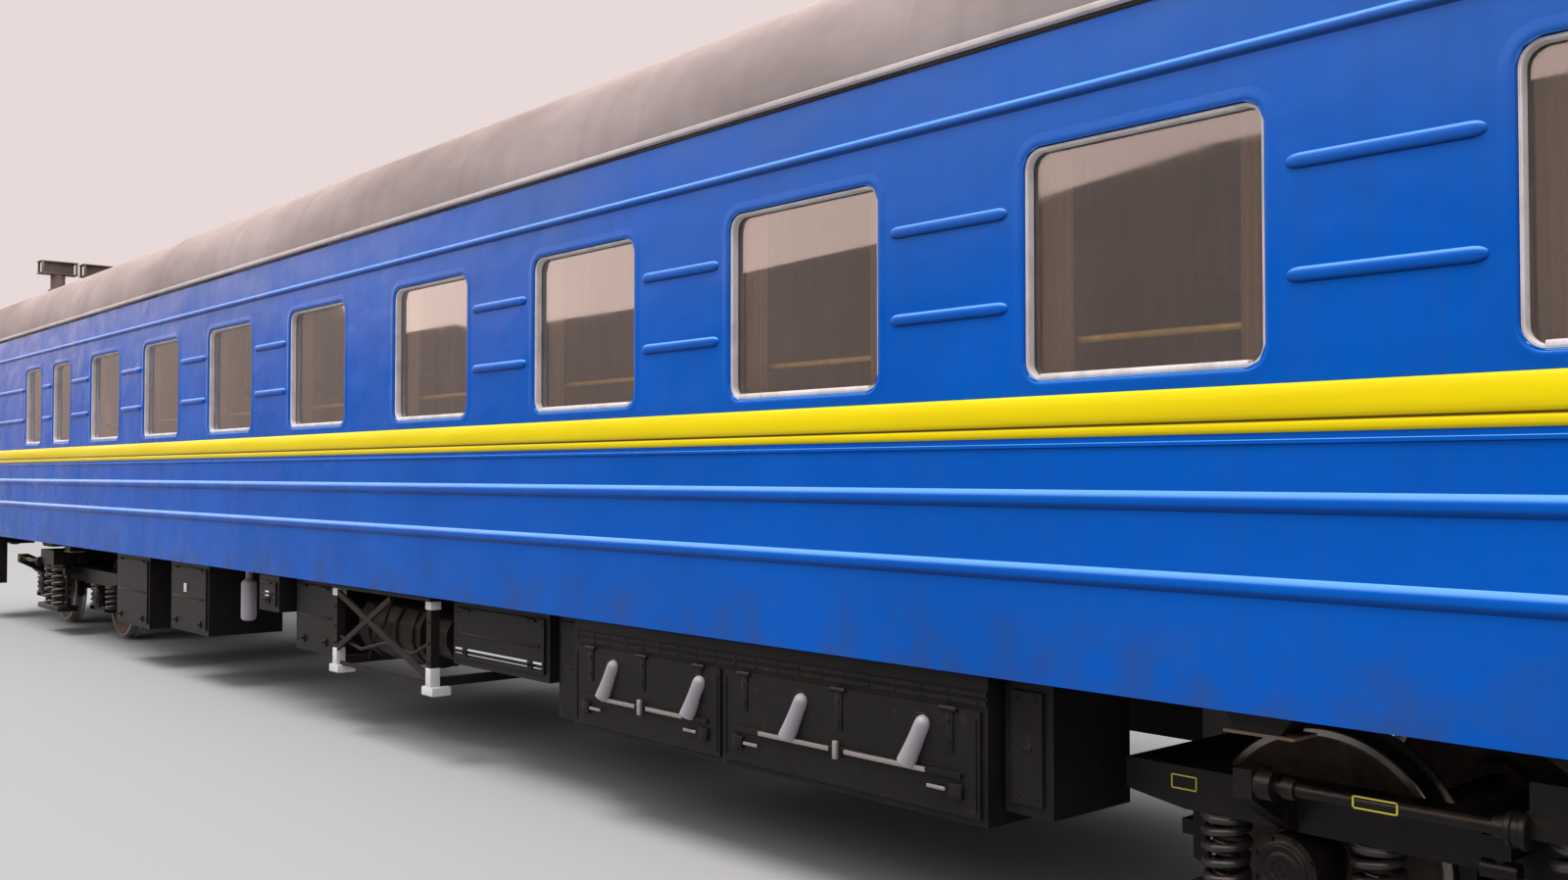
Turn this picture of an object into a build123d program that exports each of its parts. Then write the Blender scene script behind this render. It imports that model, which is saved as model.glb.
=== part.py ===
from build123d import *
import os
from math import atan2, cos, degrees, hypot, radians, sin

os.makedirs("parts", exist_ok=True)

# Frame: +X to the right when the corridor side is looked at, the corridor side is -Y, +Z up.
# Z is 0 at the bottom of the wheel flanges, so the rail head is at rail_top. All sizes in mm.

# Sides of the many-sided bars that stand for round work
wheel_sides = 20
round_sides = 12
small_round_sides = 8
spring_sides = 8
rod_sides = 8
roof_shoulder_steps = 5
roof_crown_steps = 10

# Driving sizes of the coach
body_length = 23600
body_width = 3105
coupled_length = 24537
bogie_centres = 17000
flange_depth = 28
rail_top = flange_depth
floor_top = rail_top + 1312
floor_depth = 60
roof_top = rail_top + 4372
end_plate = 100

# Section of the side walls
belt_proud = 22
wall_depth = 115
wall_outer = body_width / 2 - belt_proud
wall_inner = wall_outer - wall_depth
wall_low = rail_top + 1085
cantrail_low = rail_top + 3262
gutter_height = rail_top + 3605
belt_low = rail_top + 2015
belt_lip_height = rail_top + 1985

# Columns: height of the middle, half width at the foot, half width at the crest, how far proud
wall_ridges = [
    (rail_top + 1505, 34, 12, 18),
    (rail_top + 1785, 34, 12, 18),
    (belt_lip_height, 9, 6, 9),
]
cantrail_ridges = [
    (rail_top + 3306, 20, 9, 14),
    (gutter_height - 14, 14, 10, 20),
]

# Windows: the outer opening has round corners, the inner one is a larger square-cut rebate
window_low = rail_top + 2230
window_high = rail_top + 3128
window_corner = 78
window_reveal = 45
rebate_margin = 34
glass_margin = 26
glass_depth = 24
wide_window = 1010
narrow_window = 720
toilet_window = 520
window_pitch = 1795
first_wide_window = -5595
wide_window_count = 9
service_windows = [-8495, -7254]
toilet_window_places = [10160]
far_toilet_windows = [-10060, 10160]
far_service_window = -7400
windows_before_bare_pier = 4

# Short ribs with sloping sides and ends on the piers between windows
pier_rib_heights = [rail_top + 2523, rail_top + 2893]
pier_rib_half = 22
pier_rib_crest = 11
pier_rib_proud = 14
pier_rib_gap = 98
pier_rib_end_slope = 26

# Doorways
doorway_near = body_length / 2 - 1010
doorway_far = body_length / 2 - 290
doorway_top = cantrail_low
leaf_depth = 45
leaf_recess = 15
leaf_gap = 6
hinge_gap = 10
pin_inset = 10
pin_radius = 8
seat_gap = 0.3
side_door_window_low = rail_top + 2330
side_door_window_high = rail_top + 2960
side_door_window_width = 400
door_window_corner = 60
end_doorway_half = 350
end_leaf_depth = 40
end_leaf_recess = 30
end_door_window_width = 400

# Roof
roof_depth = 90
shoulder_radius = 620
shoulder_height = rail_top + 3622

# Inside
ceiling_height = gutter_height - 70
ceiling_depth = 15
partition_depth = 30
corridor_width = 760
corridor_wall_depth = 35
doorway_width = 620
bulkhead_face = doorway_near - 100
bulkhead_depth = 40
passage_half = 360
berth_width = 600
berth_height = 420
berth_depth = 90
upper_berth_height = 1420
table_height = 720
table_width = 420
table_reach = 560
rail_bar_height = rail_top + 2394
rail_bar_radius = 14
rail_bar_gap = 60
curtain_depth = 22
curtain_width = 170

# Underframe
frame_low = rail_top + 1072
sole_depth = 60
cross_bearer_width = 60
cross_bearer_pitch = 1420
draft_sill_inner = 175
draft_sill_width = 60
draft_sill_low = rail_top + 945
headstock_depth = 160
coupler_height = rail_top + 1060
bolster_length = 560
body_bolster_low = rail_top + 1012
centre_plate_depth = 30
centre_plate_radius = 170
jack_pad_x = 7370
jack_pad_length = 260
jack_pad_width = 150
jack_pad_depth = 75
jack_pad_slope = 55

# Running gear
wheelbase = 2400
wheel_radius = 475
flange_radius = wheel_radius + flange_depth
axle_height = rail_top + wheel_radius
axle_radius = 82
journal_radius = 65
journal_end = 1095
journal_clearance = 3
journal_spacing = 2036
axle_box_radius = 125
axle_box_length = 230
wing_spring_offset = 290
wing_spring_radius = 95
side_beam_low = rail_top + 612
side_beam_high = rail_top + 772
side_beam_width = 160
bogie_half_length = 1880
bogie_bolster_low = rail_top + 802
bogie_bolster_high = rail_top + 972
bogie_bolster_half = 160
bogie_bolster_end_half = 290
centre_spring_offset = 165
centre_spring_radius = 112
centre_spring_spacing = 2470
spring_tray_top = rail_top + 317
spring_tray_depth = 60
shoe_gap = 18
bogies = [("left", -bogie_centres / 2), ("right", bogie_centres / 2)]
wheelsets = [("west", -1), ("east", 1)]

half_body = body_length / 2
inner_half = half_body - end_plate
journal_half = journal_spacing / 2
centre_spring_half = centre_spring_spacing / 2


def block(low, high, mode=Mode.ADD):
    """Adds a square-cornered piece between two opposite corners."""
    middle = [(a + b) / 2 for a, b in zip(low, high)]
    size = [abs(b - a) for a, b in zip(low, high)]
    with Locations(tuple(middle)):
        Box(*size, mode=mode)


def sided(side, near, far):
    """Two distances from the middle line as a lower and a higher Y on one side."""
    return tuple(sorted((side * near, side * far)))


def faceted(plane, stations, sides, mode=Mode.ADD):
    """Round work as a many-sided bar: straight or tapered lengths between (offset, radius) stations.

    The flats touch the true radius, and a flat faces along each axis of the plane.
    """
    for (start, first), (end, last) in zip(stations, stations[1:]):
        if end == start:
            continue
        with BuildSketch(plane.offset(start)) as ring:
            RegularPolygon(first, sides, major_radius=False, rotation=180 / sides)
        slope = degrees(atan2(first - last, end - start))
        extrude(ring.sketch, amount=end - start, taper=slope, mode=mode)


def soft_rectangle(width, height, corner, steps=2):
    """Corner points of a rectangle whose round corners are drawn in a few short straights."""
    points = []
    for quarter, (sx, sy) in enumerate(((1, 1), (-1, 1), (-1, -1), (1, -1))):
        centre = (sx * (width / 2 - corner), sy * (height / 2 - corner))
        for step in range(steps + 1):
            angle = radians(90 * (quarter + step / steps))
            points.append((centre[0] + corner * cos(angle), centre[1] + corner * sin(angle)))
    return points


def save(piece, node):
    piece.part.label = node
    export_step(piece.part, f"parts/{node}.step")


# Side walls

def ridged_section(side, low, high, ridges):
    """Closed wall section as (y, z) points, with its ridges on the outer face."""
    points = [(side * wall_inner, low), (side * wall_outer, low)]
    for height, half_foot, half_crest, proud in ridges:
        crest = wall_outer + proud
        points.append((side * wall_outer, height - half_foot))
        points.append((side * crest, height - half_crest))
        points.append((side * crest, height + half_crest))
        if height + half_foot < high:
            points.append((side * wall_outer, height + half_foot))
    if points[-1][1] < high:
        points.append((side * wall_outer, high))
    points.append((side * wall_inner, high))
    return points


def outer_plane(side, x, z):
    """A plane on a wall's outer face, its normal pointing out of the coach."""
    return Plane(origin=(x, side * wall_outer, z), x_dir=(1, 0, 0), z_dir=(0, side, 0))


window_middle = (window_low + window_high) / 2
window_height = window_high - window_low
wide_windows = [
    (first_wide_window + n * window_pitch, wide_window) for n in range(wide_window_count)
]
# Columns: middle X, width
corridor_windows = (
    [(x, narrow_window) for x in service_windows]
    + wide_windows
    + [(x, toilet_window) for x in toilet_window_places]
)
compartment_windows = (
    [(far_toilet_windows[0], toilet_window), (far_service_window, narrow_window)]
    + wide_windows
    + [(far_toilet_windows[1], toilet_window)]
)
bare_pier_x = wide_windows[windows_before_bare_pier - 1][0] + window_pitch / 2


def pier_ribs(windows, bare):
    """Middle X and length of the ribs on each pier wide enough to carry them."""
    edges = [(-doorway_near, -doorway_near)]
    edges += [(x - width / 2, x + width / 2) for x, width in windows]
    edges += [(doorway_near, doorway_near)]
    ribs = []
    for (_, start), (end, _) in zip(edges, edges[1:]):
        middle = (start + end) / 2
        length = end - start - 2 * pier_rib_gap
        if length > 200 and abs(middle - bare) > 10:
            ribs.append((middle, length))
    return ribs


def pier_rib(side, length):
    """A rib about the origin: its section drawn along X, then cut to its shape seen from above."""
    foot = side * wall_outer
    crest = side * (wall_outer + pier_rib_proud)
    tip = length / 2
    shoulder = tip - pier_rib_end_slope
    with BuildPart() as rib:
        with BuildSketch(Plane.YZ):
            with BuildLine():
                Polyline(
                    (foot, -pier_rib_half),
                    (crest, -pier_rib_crest),
                    (crest, pier_rib_crest),
                    (foot, pier_rib_half),
                    close=True,
                )
            make_face()
        extrude(amount=tip, both=True)
        with BuildSketch():
            with BuildLine():
                Polyline((-tip, foot), (-shoulder, crest), (shoulder, crest), (tip, foot), close=True)
            make_face()
        extrude(amount=pier_rib_half, both=True, mode=Mode.INTERSECT)
    return rib.part


# Columns: node name, side, windows, X of the pier without ribs
walls = [
    ("corridor", -1, corridor_windows, bare_pier_x),
    ("compartment", 1, compartment_windows, body_length),
]
for name, side, windows, bare in walls:
    with BuildPart() as wall:
        with BuildSketch(Plane.YZ.offset(-doorway_near)):
            with BuildLine():
                Polyline(*ridged_section(side, wall_low, cantrail_low, wall_ridges), close=True)
            make_face()
        extrude(amount=2 * doorway_near)
        for x, width in windows:
            with BuildSketch(outer_plane(side, x, window_middle)):
                with BuildLine():
                    Polyline(*soft_rectangle(width, window_height, window_corner), close=True)
                make_face()
            extrude(amount=-wall_depth, mode=Mode.SUBTRACT)
            with BuildSketch(outer_plane(side, x, window_middle).offset(-window_reveal)):
                Rectangle(width + 2 * rebate_margin, window_height + 2 * rebate_margin)
            extrude(amount=-wall_depth, mode=Mode.SUBTRACT)
        for middle, length in pier_ribs(windows, bare):
            rib = pier_rib(side, length)
            for height in pier_rib_heights:
                with Locations((middle, 0, height)):
                    add(rib)
    save(wall, f"side_wall_{name}")

    with BuildPart() as glass:
        for x, width in windows:
            with BuildSketch(outer_plane(side, x, window_middle).offset(-window_reveal)):
                Rectangle(width + 2 * glass_margin, window_height + 2 * glass_margin)
            extrude(amount=-glass_depth)
    save(glass, f"window_glass_{name}")

    with BuildPart() as curtains:
        for x, width in wide_windows:
            for end in (-1, 1):
                start = x + end * (width / 2 - curtain_width)
                stop = x + end * (width / 2 + rebate_margin + 20)
                ys = sided(side, wall_inner - curtain_depth, wall_inner)
                block(
                    (min(start, stop), ys[0], window_low - rebate_margin - 20),
                    (max(start, stop), ys[1], window_high + rebate_margin + 40),
                )
    save(curtains, f"curtains_{name}")

with BuildPart() as cantrails:
    for side in (-1, 1):
        with BuildSketch(Plane.YZ.offset(-inner_half)):
            with BuildLine():
                Polyline(
                    *ridged_section(side, cantrail_low, gutter_height, cantrail_ridges), close=True
                )
            make_face()
        extrude(amount=2 * inner_half)
save(cantrails, "cantrails")

# Waist belts: a shallow convex pressing with a groove near its foot, on the wall and corner posts
# Columns: how far proud, height above the belt's foot
belt_section = [(0, 161), (15, 145), (22, 97), (15, 50), (7, 40), (13, 30), (11, 10), (0, 0)]
# Columns: start X, end X
belt_runs = [
    (-half_body + end_plate, -doorway_far),
    (-doorway_near, doorway_near),
    (doorway_far, half_body - end_plate),
]
with BuildPart() as belts:
    for side in (-1, 1):
        for start, end in belt_runs:
            with BuildSketch(Plane.YZ.offset(start)):
                with BuildLine():
                    Polyline(
                        *[(side * (wall_outer + proud), belt_low + z) for proud, z in belt_section],
                        close=True,
                    )
                make_face()
            extrude(amount=end - start)
save(belts, "waist_belts")

# Roof: a broad crown with a round shoulder along each side
shoulder_y = wall_outer - shoulder_radius
rise = roof_top - shoulder_height
crown_radius = (shoulder_y**2 + rise**2 - shoulder_radius**2) / (2 * (rise - shoulder_radius))
crown_height = roof_top - crown_radius
shoulder_sweep = degrees(atan2(shoulder_height - crown_height, shoulder_y))


def roof_outline(depth, foot):
    """(y, z) points from eave to eave in short straights, pushed in by depth, down to foot."""
    edge = wall_outer - depth
    points = [(edge, foot)]
    for step in range(roof_shoulder_steps):
        angle = radians(shoulder_sweep * step / roof_shoulder_steps)
        radius = shoulder_radius - depth
        points.append((shoulder_y + radius * cos(angle), shoulder_height + radius * sin(angle)))
    for step in range(roof_crown_steps // 2):
        angle = radians(shoulder_sweep + (90 - shoulder_sweep) * 2 * step / roof_crown_steps)
        radius = crown_radius - depth
        points.append((radius * cos(angle), crown_height + radius * sin(angle)))
    return points + [(0, roof_top - depth)] + [(-y, z) for y, z in reversed(points)]


with BuildPart() as roof:
    with BuildSketch(Plane.YZ.offset(-inner_half)):
        with BuildLine():
            outside = roof_outline(0, gutter_height)
            inside = roof_outline(roof_depth, gutter_height)
            Polyline(*outside, *reversed(inside), close=True)
        make_face()
    extrude(amount=2 * inner_half)
save(roof, "roof")

# Flue caps: a stem and a crosswise cap open at both ends
flue_x = -9860
flue_places = [-950, -450]
flue_cap_length = 450
flue_cap_height = 165
flue_cap_width = 200
flue_stem_radius = 85
flue_top = rail_top + 4625
flue_wall = 12
with BuildPart() as flues:
    for y in flue_places:
        cap_middle = flue_top - flue_cap_height / 2
        crown = crown_height + (crown_radius**2 - y**2) ** 0.5
        sunk = 60 if abs(y) > 800 else 25
        faceted(
            Plane((flue_x, y, 0)),
            [
                (crown - sunk, flue_stem_radius),
                (cap_middle - flue_cap_height / 2, flue_stem_radius),
            ],
            small_round_sides,
        )
        with BuildSketch(Plane(origin=(flue_x, y, cap_middle), x_dir=(0, 1, 0), z_dir=(1, 0, 0))):
            Rectangle(flue_cap_length, flue_cap_height)
            Rectangle(flue_cap_length, flue_cap_height - 2 * flue_wall, mode=Mode.SUBTRACT)
        extrude(amount=flue_cap_width / 2, both=True)
        block(
            (flue_x - 20, y - flue_cap_length / 2 + 40, cap_middle - flue_cap_height / 2),
            (flue_x + 20, y + flue_cap_length / 2 - 40, cap_middle + flue_cap_height / 2),
        )
    add(roof.part, mode=Mode.SUBTRACT)
save(flues, "roof_vents")

# End walls: an arched plate with the gangway doorway, corner posts turned back along the sides,
# and a slot at the bottom for the coupler
coupler_slot_half = 290
coupler_slot_top = rail_top + 1230
end_skirt_half = 1300
with BuildPart() as end_walls:
    for end in (-1, 1):
        with BuildSketch(Plane.YZ.offset(end * inner_half)):
            with BuildLine():
                Polyline(
                    *roof_outline(0, wall_low),
                    (-end_skirt_half, wall_low),
                    (-end_skirt_half, draft_sill_low),
                    (end_skirt_half, draft_sill_low),
                    (end_skirt_half, wall_low),
                    close=True,
                )
            make_face()
        extrude(amount=end * end_plate)
        for side in (-1, 1):
            ys = sided(side, wall_inner, wall_outer)
            block(
                (end * doorway_far, ys[0], wall_low),
                (end * inner_half, ys[1], cantrail_low),
            )
        block(
            (end * inner_half, -end_doorway_half, floor_top),
            (end * half_body, end_doorway_half, doorway_top),
            mode=Mode.SUBTRACT,
        )
        block(
            (end * inner_half, -coupler_slot_half, draft_sill_low),
            (end * half_body, coupler_slot_half, coupler_slot_top),
            mode=Mode.SUBTRACT,
        )
save(end_walls, "end_walls")

# Floor, with a threshold plate out to the wall face at each doorway
with BuildPart() as floor:
    block((-inner_half, -wall_inner, floor_top - floor_depth), (inner_half, wall_inner, floor_top))
    for end in (-1, 1):
        block(
            (end * doorway_near, -wall_outer, floor_top - floor_depth),
            (end * doorway_far, wall_outer, floor_top),
        )
save(floor, "floor")

with BuildPart() as ceiling:
    block(
        (-inner_half, -wall_inner, ceiling_height - ceiling_depth),
        (inner_half, wall_inner, ceiling_height),
    )
save(ceiling, "ceiling")

# Inside: partitions at half a pitch from each window, a corridor wall between the doorways
ceiling_low = ceiling_height - ceiling_depth
corridor_face = -wall_inner + corridor_width
room_face = corridor_face + corridor_wall_depth
first_partition = first_wide_window - window_pitch / 2
partition_places = [
    first_partition + n * window_pitch for n in range(wide_window_count + 1)
]
staff_partition = first_partition - 1340
with BuildPart() as partitions:
    for x in [staff_partition] + partition_places:
        block(
            (x - partition_depth / 2, room_face, floor_top),
            (x + partition_depth / 2, wall_inner - curtain_depth - 1, ceiling_low),
        )
    for end in (-1, 1):
        for side in (-1, 1):
            ys = sided(side, passage_half, wall_inner)
            block(
                (end * bulkhead_face, ys[0], floor_top),
                (end * (bulkhead_face - bulkhead_depth), ys[1], ceiling_low),
            )
save(partitions, "partitions")

doorway_places = [x + window_pitch / 2 for x in partition_places[:-1]]
staff_doorway = (staff_partition + first_partition) / 2
with BuildPart() as corridor_wall:
    edges = [staff_partition - partition_depth / 2]
    for x in [staff_doorway] + doorway_places:
        edges += [x - doorway_width / 2, x + doorway_width / 2]
    edges.append(partition_places[-1] + partition_depth / 2)
    for start, end in zip(edges[::2], edges[1::2]):
        block((start, corridor_face, floor_top), (end, room_face, ceiling_low))
save(corridor_wall, "corridor_wall")

with BuildPart() as berths:
    for x in partition_places[:-1]:
        near = x + partition_depth / 2
        far = x + window_pitch - partition_depth / 2
        for start, end in [(near, near + berth_width), (far - berth_width, far)]:
            for height in (berth_height, upper_berth_height):
                block(
                    (start, room_face, floor_top + height - berth_depth),
                    (end, wall_inner - curtain_depth - 1, floor_top + height),
                )
save(berths, "berths")

with BuildPart() as tables:
    for x, width in wide_windows:
        block(
            (x - table_width / 2, wall_inner - table_reach, floor_top + table_height - 25),
            (x + table_width / 2, wall_inner, floor_top + table_height),
        )
save(tables, "tables")

rail_y = -wall_inner + rail_bar_gap
with BuildPart() as corridor_rail:
    rail_start = first_partition + 200
    rail_end = partition_places[-1] - 200
    faceted(
        Plane(origin=(0, rail_y, rail_bar_height), x_dir=(0, 1, 0), z_dir=(1, 0, 0)),
        [(rail_start, rail_bar_radius), (rail_end, rail_bar_radius)],
        rod_sides,
    )
    for x in partition_places[1:-1:2]:
        block((x - 10, -wall_inner, rail_bar_height - 8), (x + 10, rail_y, rail_bar_height + 8))
save(corridor_rail, "corridor_rail")

# Underframe: sole bars, cross bearers, bolsters over the bogies, draft sills and headstocks
floor_low = floor_top - floor_depth
bearer_count = int((bogie_centres / 2 - 1000) // cross_bearer_pitch)
with BuildPart() as underframe:
    for side in (-1, 1):
        ys = sided(side, wall_inner - sole_depth, wall_inner)
        block((-inner_half, ys[0], frame_low), (inner_half, ys[1], floor_low))
    for n in range(-bearer_count, bearer_count + 1):
        x = n * cross_bearer_pitch
        block(
            (x - cross_bearer_width / 2, -wall_inner + sole_depth, frame_low),
            (x + cross_bearer_width / 2, wall_inner - sole_depth, floor_low),
        )
    for end in (-1, 1):
        centre = end * bogie_centres / 2
        with BuildSketch(Plane.XZ.offset(-wall_inner + sole_depth)):
            with BuildLine():
                Polyline(
                    (centre - bolster_length / 2, floor_low),
                    (centre - bolster_length / 2, frame_low),
                    (centre - bolster_length / 3, body_bolster_low),
                    (centre + bolster_length / 3, body_bolster_low),
                    (centre + bolster_length / 2, frame_low),
                    (centre + bolster_length / 2, floor_low),
                    close=True,
                )
            make_face()
        extrude(amount=2 * (wall_inner - sole_depth))
        for side in (-1, 1):
            ys = sided(side, draft_sill_inner, draft_sill_inner + draft_sill_width)
            sill_start = centre + end * bolster_length / 3
            block(
                (sill_start, ys[0], draft_sill_low),
                (end * (inner_half - headstock_depth), ys[1], floor_low),
            )
            ys = sided(side, coupler_slot_half, wall_inner - sole_depth)
            block(
                (end * (inner_half - headstock_depth), ys[0], draft_sill_low),
                (end * inner_half, ys[1], floor_low),
            )
        block(
            (end * (inner_half - headstock_depth), -coupler_slot_half, coupler_slot_top),
            (end * inner_half, coupler_slot_half, floor_low),
        )
        faceted(
            Plane((centre, 0, 0)),
            [
                (body_bolster_low - centre_plate_depth, centre_plate_radius),
                (body_bolster_low, centre_plate_radius),
            ],
            round_sides,
        )
        # Jack pads under the sole bars, sloping down to their flat underside
        for side in (-1, 1):
            x = end * jack_pad_x
            low = frame_low - jack_pad_depth
            with BuildSketch(Plane.XZ.offset(-side * (wall_inner - jack_pad_width / 2))):
                with BuildLine():
                    Polyline(
                        (x - jack_pad_length / 2, frame_low),
                        (x - jack_pad_length / 2 + jack_pad_slope, low),
                        (x + jack_pad_length / 2 - jack_pad_slope, low),
                        (x + jack_pad_length / 2, frame_low),
                        close=True,
                    )
                make_face()
            extrude(amount=jack_pad_width / 2, both=True)
save(underframe, "underframe")

# Couplers: a shank with its yoke between the draft sills, and a head with two teeth and a throat
coupler_face = coupled_length / 2
head_height = 290
shank_width = 200
shank_height = 160
yoke_start = inner_half - 620
yoke_end = inner_half - 260
# Columns: distance back from the tip of the large tooth, Y to its own right
head_outline = [
    (380, -100),
    (300, -175),
    (160, -215),
    (70, -180),
    (70, -105),
    (125, -60),
    (125, 50),
    (0, 100),
    (0, 165),
    (50, 210),
    (250, 175),
    (380, 100),
]
with BuildPart() as couplers:
    for end in (-1, 1):
        with BuildSketch(Plane.XY.offset(coupler_height - head_height / 2)):
            with BuildLine():
                Polyline(*[(end * (coupler_face - x), end * y) for x, y in head_outline], close=True)
            make_face()
        extrude(amount=head_height)
        block(
            (end * yoke_end, -shank_width / 2, coupler_height - shank_height / 2),
            (end * (coupler_face - 370), shank_width / 2, coupler_height + shank_height / 2),
        )
        block(
            (end * yoke_start, -draft_sill_inner, coupler_height - 100),
            (end * yoke_end, draft_sill_inner, coupler_height + 100),
        )
save(couplers, "couplers")

# Buffers: turned barrel, rod and round head
buffer_half_spacing = 880
buffer_barrel_radius = 105
buffer_rod_radius = 62
buffer_head_radius = 185
buffer_head_depth = 34
buffer_barrel_length = 190
with BuildPart() as buffers:
    for end in (-1, 1):
        for side in (-1, 1):
            reach = coupler_face - half_body
            head_start = reach - buffer_head_depth
            faceted(
                Plane(
                    origin=(end * half_body, side * buffer_half_spacing, coupler_height),
                    x_dir=(0, 1, 0),
                    z_dir=(end, 0, 0),
                ),
                [
                    (0, buffer_barrel_radius),
                    (buffer_barrel_length, buffer_barrel_radius),
                    (buffer_barrel_length, buffer_rod_radius),
                    (head_start, buffer_rod_radius),
                    (head_start, buffer_head_radius),
                    (reach, buffer_head_radius),
                ],
                small_round_sides,
            )
save(buffers, "buffers")

# Gangways: a padded rubber portal round each end doorway
gangway_low = floor_low
gangway_top = rail_top + 3530
gangway_half = 625
gangway_mouth_half = 430
gangway_mouth_top = rail_top + 3330
gangway_reach = coupler_face - half_body - 20
gangway_corner = 210
gangway_height = gangway_top - gangway_low
with BuildPart() as gangways:
    for end in (-1, 1):
        with BuildSketch(Plane.YZ.offset(end * half_body)):
            arch = soft_rectangle(2 * gangway_half, gangway_height, gangway_corner)
            middle = (gangway_low + gangway_top) / 2
            with BuildLine():
                Polyline(
                    *[(y, z + middle) for y, z in arch if z > 0],
                    (-gangway_half, gangway_low),
                    (gangway_half, gangway_low),
                    close=True,
                )
            make_face()
            with Locations((0, (gangway_low + gangway_mouth_top) / 2)):
                Rectangle(
                    2 * gangway_mouth_half, gangway_mouth_top - gangway_low, mode=Mode.SUBTRACT
                )
        extrude(amount=end * gangway_reach)
save(gangways, "gangway_bellows")

fall_plate_half = 390
fall_plate_depth = 28
fall_plate_reach = gangway_reach - 60
with BuildPart() as fall_plates:
    for end in (-1, 1):
        block(
            (end * half_body, -fall_plate_half, floor_top - fall_plate_depth),
            (end * (half_body + fall_plate_reach), fall_plate_half, floor_top),
        )
        for side in (-1, 1):
            ys = sided(side, fall_plate_half - 60, fall_plate_half - 20)
            with BuildSketch(Plane.XZ.offset(-ys[0])):
                with BuildLine():
                    Polyline(
                        (end * half_body, floor_top - fall_plate_depth),
                        (end * (half_body + fall_plate_reach / 2), floor_top - fall_plate_depth),
                        (end * half_body, floor_low - 10),
                        close=True,
                    )
                make_face()
            extrude(amount=ys[0] - ys[1])
save(fall_plates, "fall_plates")

# Tail lamps: round, on the end walls
lamp_radius = 60
lamp_depth = 70
# Columns: Y, Z
lamp_places = [(-1130, rail_top + 3440), (1130, rail_top + 3440)]
with BuildPart() as lamps:
    for end in (-1, 1):
        for y, z in lamp_places:
            faceted(
                Plane(origin=(end * half_body, y, z), x_dir=(0, 1, 0), z_dir=(end, 0, 0)),
                [(0, lamp_radius), (lamp_depth, lamp_radius)],
                small_round_sides,
            )
save(lamps, "tail_lamps")

# Steps under each side doorway: two cheeks and three treads
step_inner = wall_inner - 125
step_outer = wall_outer - 5
step_low = rail_top + 440
cheek_depth = 12
tread_depth = 24
tread_heights = [rail_top + 470, rail_top + 745, rail_top + 1015]
with BuildPart() as steps:
    for end in (-1, 1):
        for side in (-1, 1):
            near = end * doorway_near
            far = end * doorway_far
            for start, direction in ((near, end), (far, -end)):
                with BuildSketch(Plane.YZ.offset(start)):
                    with BuildLine():
                        Polyline(
                            (side * step_inner, step_low),
                            (side * step_outer, step_low),
                            (side * step_outer, floor_low),
                            (side * wall_inner, floor_low),
                            (side * wall_inner, frame_low),
                            (side * step_inner, frame_low),
                            close=True,
                        )
                    make_face()
                extrude(amount=direction * cheek_depth)
            ys = sided(side, step_inner, step_outer)
            for height in tread_heights:
                block((near, ys[0], height - tread_depth), (far, ys[1], height))
save(steps, "door_steps")

# Battery box on the corridor side: two drop doors, a double ridge above, latch bars below
battery_start = 3243
battery_end = 6235
battery_seam = 4570
battery_outer = wall_outer - 55
battery_inner = 760
battery_low = rail_top + 476
door_proud = 14
door_inset = 30
latch_height = battery_low + 190
ridge_heights = [frame_low - 70, frame_low - 105]
with BuildPart() as battery_box:
    block((battery_start, -battery_outer, battery_low), (battery_end, -battery_inner, frame_low))
    doors = [
        (battery_start + door_inset, battery_seam - door_inset / 2),
        (battery_seam + door_inset / 2, battery_end - door_inset),
    ]
    for start, end in doors:
        block(
            (start, -battery_outer - door_proud, battery_low + door_inset),
            (end, -battery_outer, frame_low - 140),
        )
        block(
            (start + 90, -battery_outer - 2 * door_proud, latch_height - 11),
            (end - 90, -battery_outer - door_proud, latch_height + 11),
        )
    for height in ridge_heights:
        block(
            (battery_start, -battery_outer - 10, height - 9),
            (battery_end, -battery_outer, height + 9),
        )
save(battery_box, "battery_box")

# Vent pipes out of the battery box, slanting down and outward, flared at the mouth
vent_places = [3640, 4390, 5140, 5890]
vent_height = rail_top + 850
vent_drop = (-62, -45, -172)
vent_radius = 36
vent_mouth_radius = 47
vent_length = (vent_drop[0] ** 2 + vent_drop[1] ** 2 + vent_drop[2] ** 2) ** 0.5
with BuildPart() as vents:
    for x in vent_places:
        start = (x, -battery_outer + 20, vent_height)
        faceted(
            Plane(origin=start, z_dir=vent_drop),
            [(0, vent_radius), (vent_length, vent_mouth_radius)],
            rod_sides,
        )
    add(battery_box.part, mode=Mode.SUBTRACT)
save(vents, "battery_vents")

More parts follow.
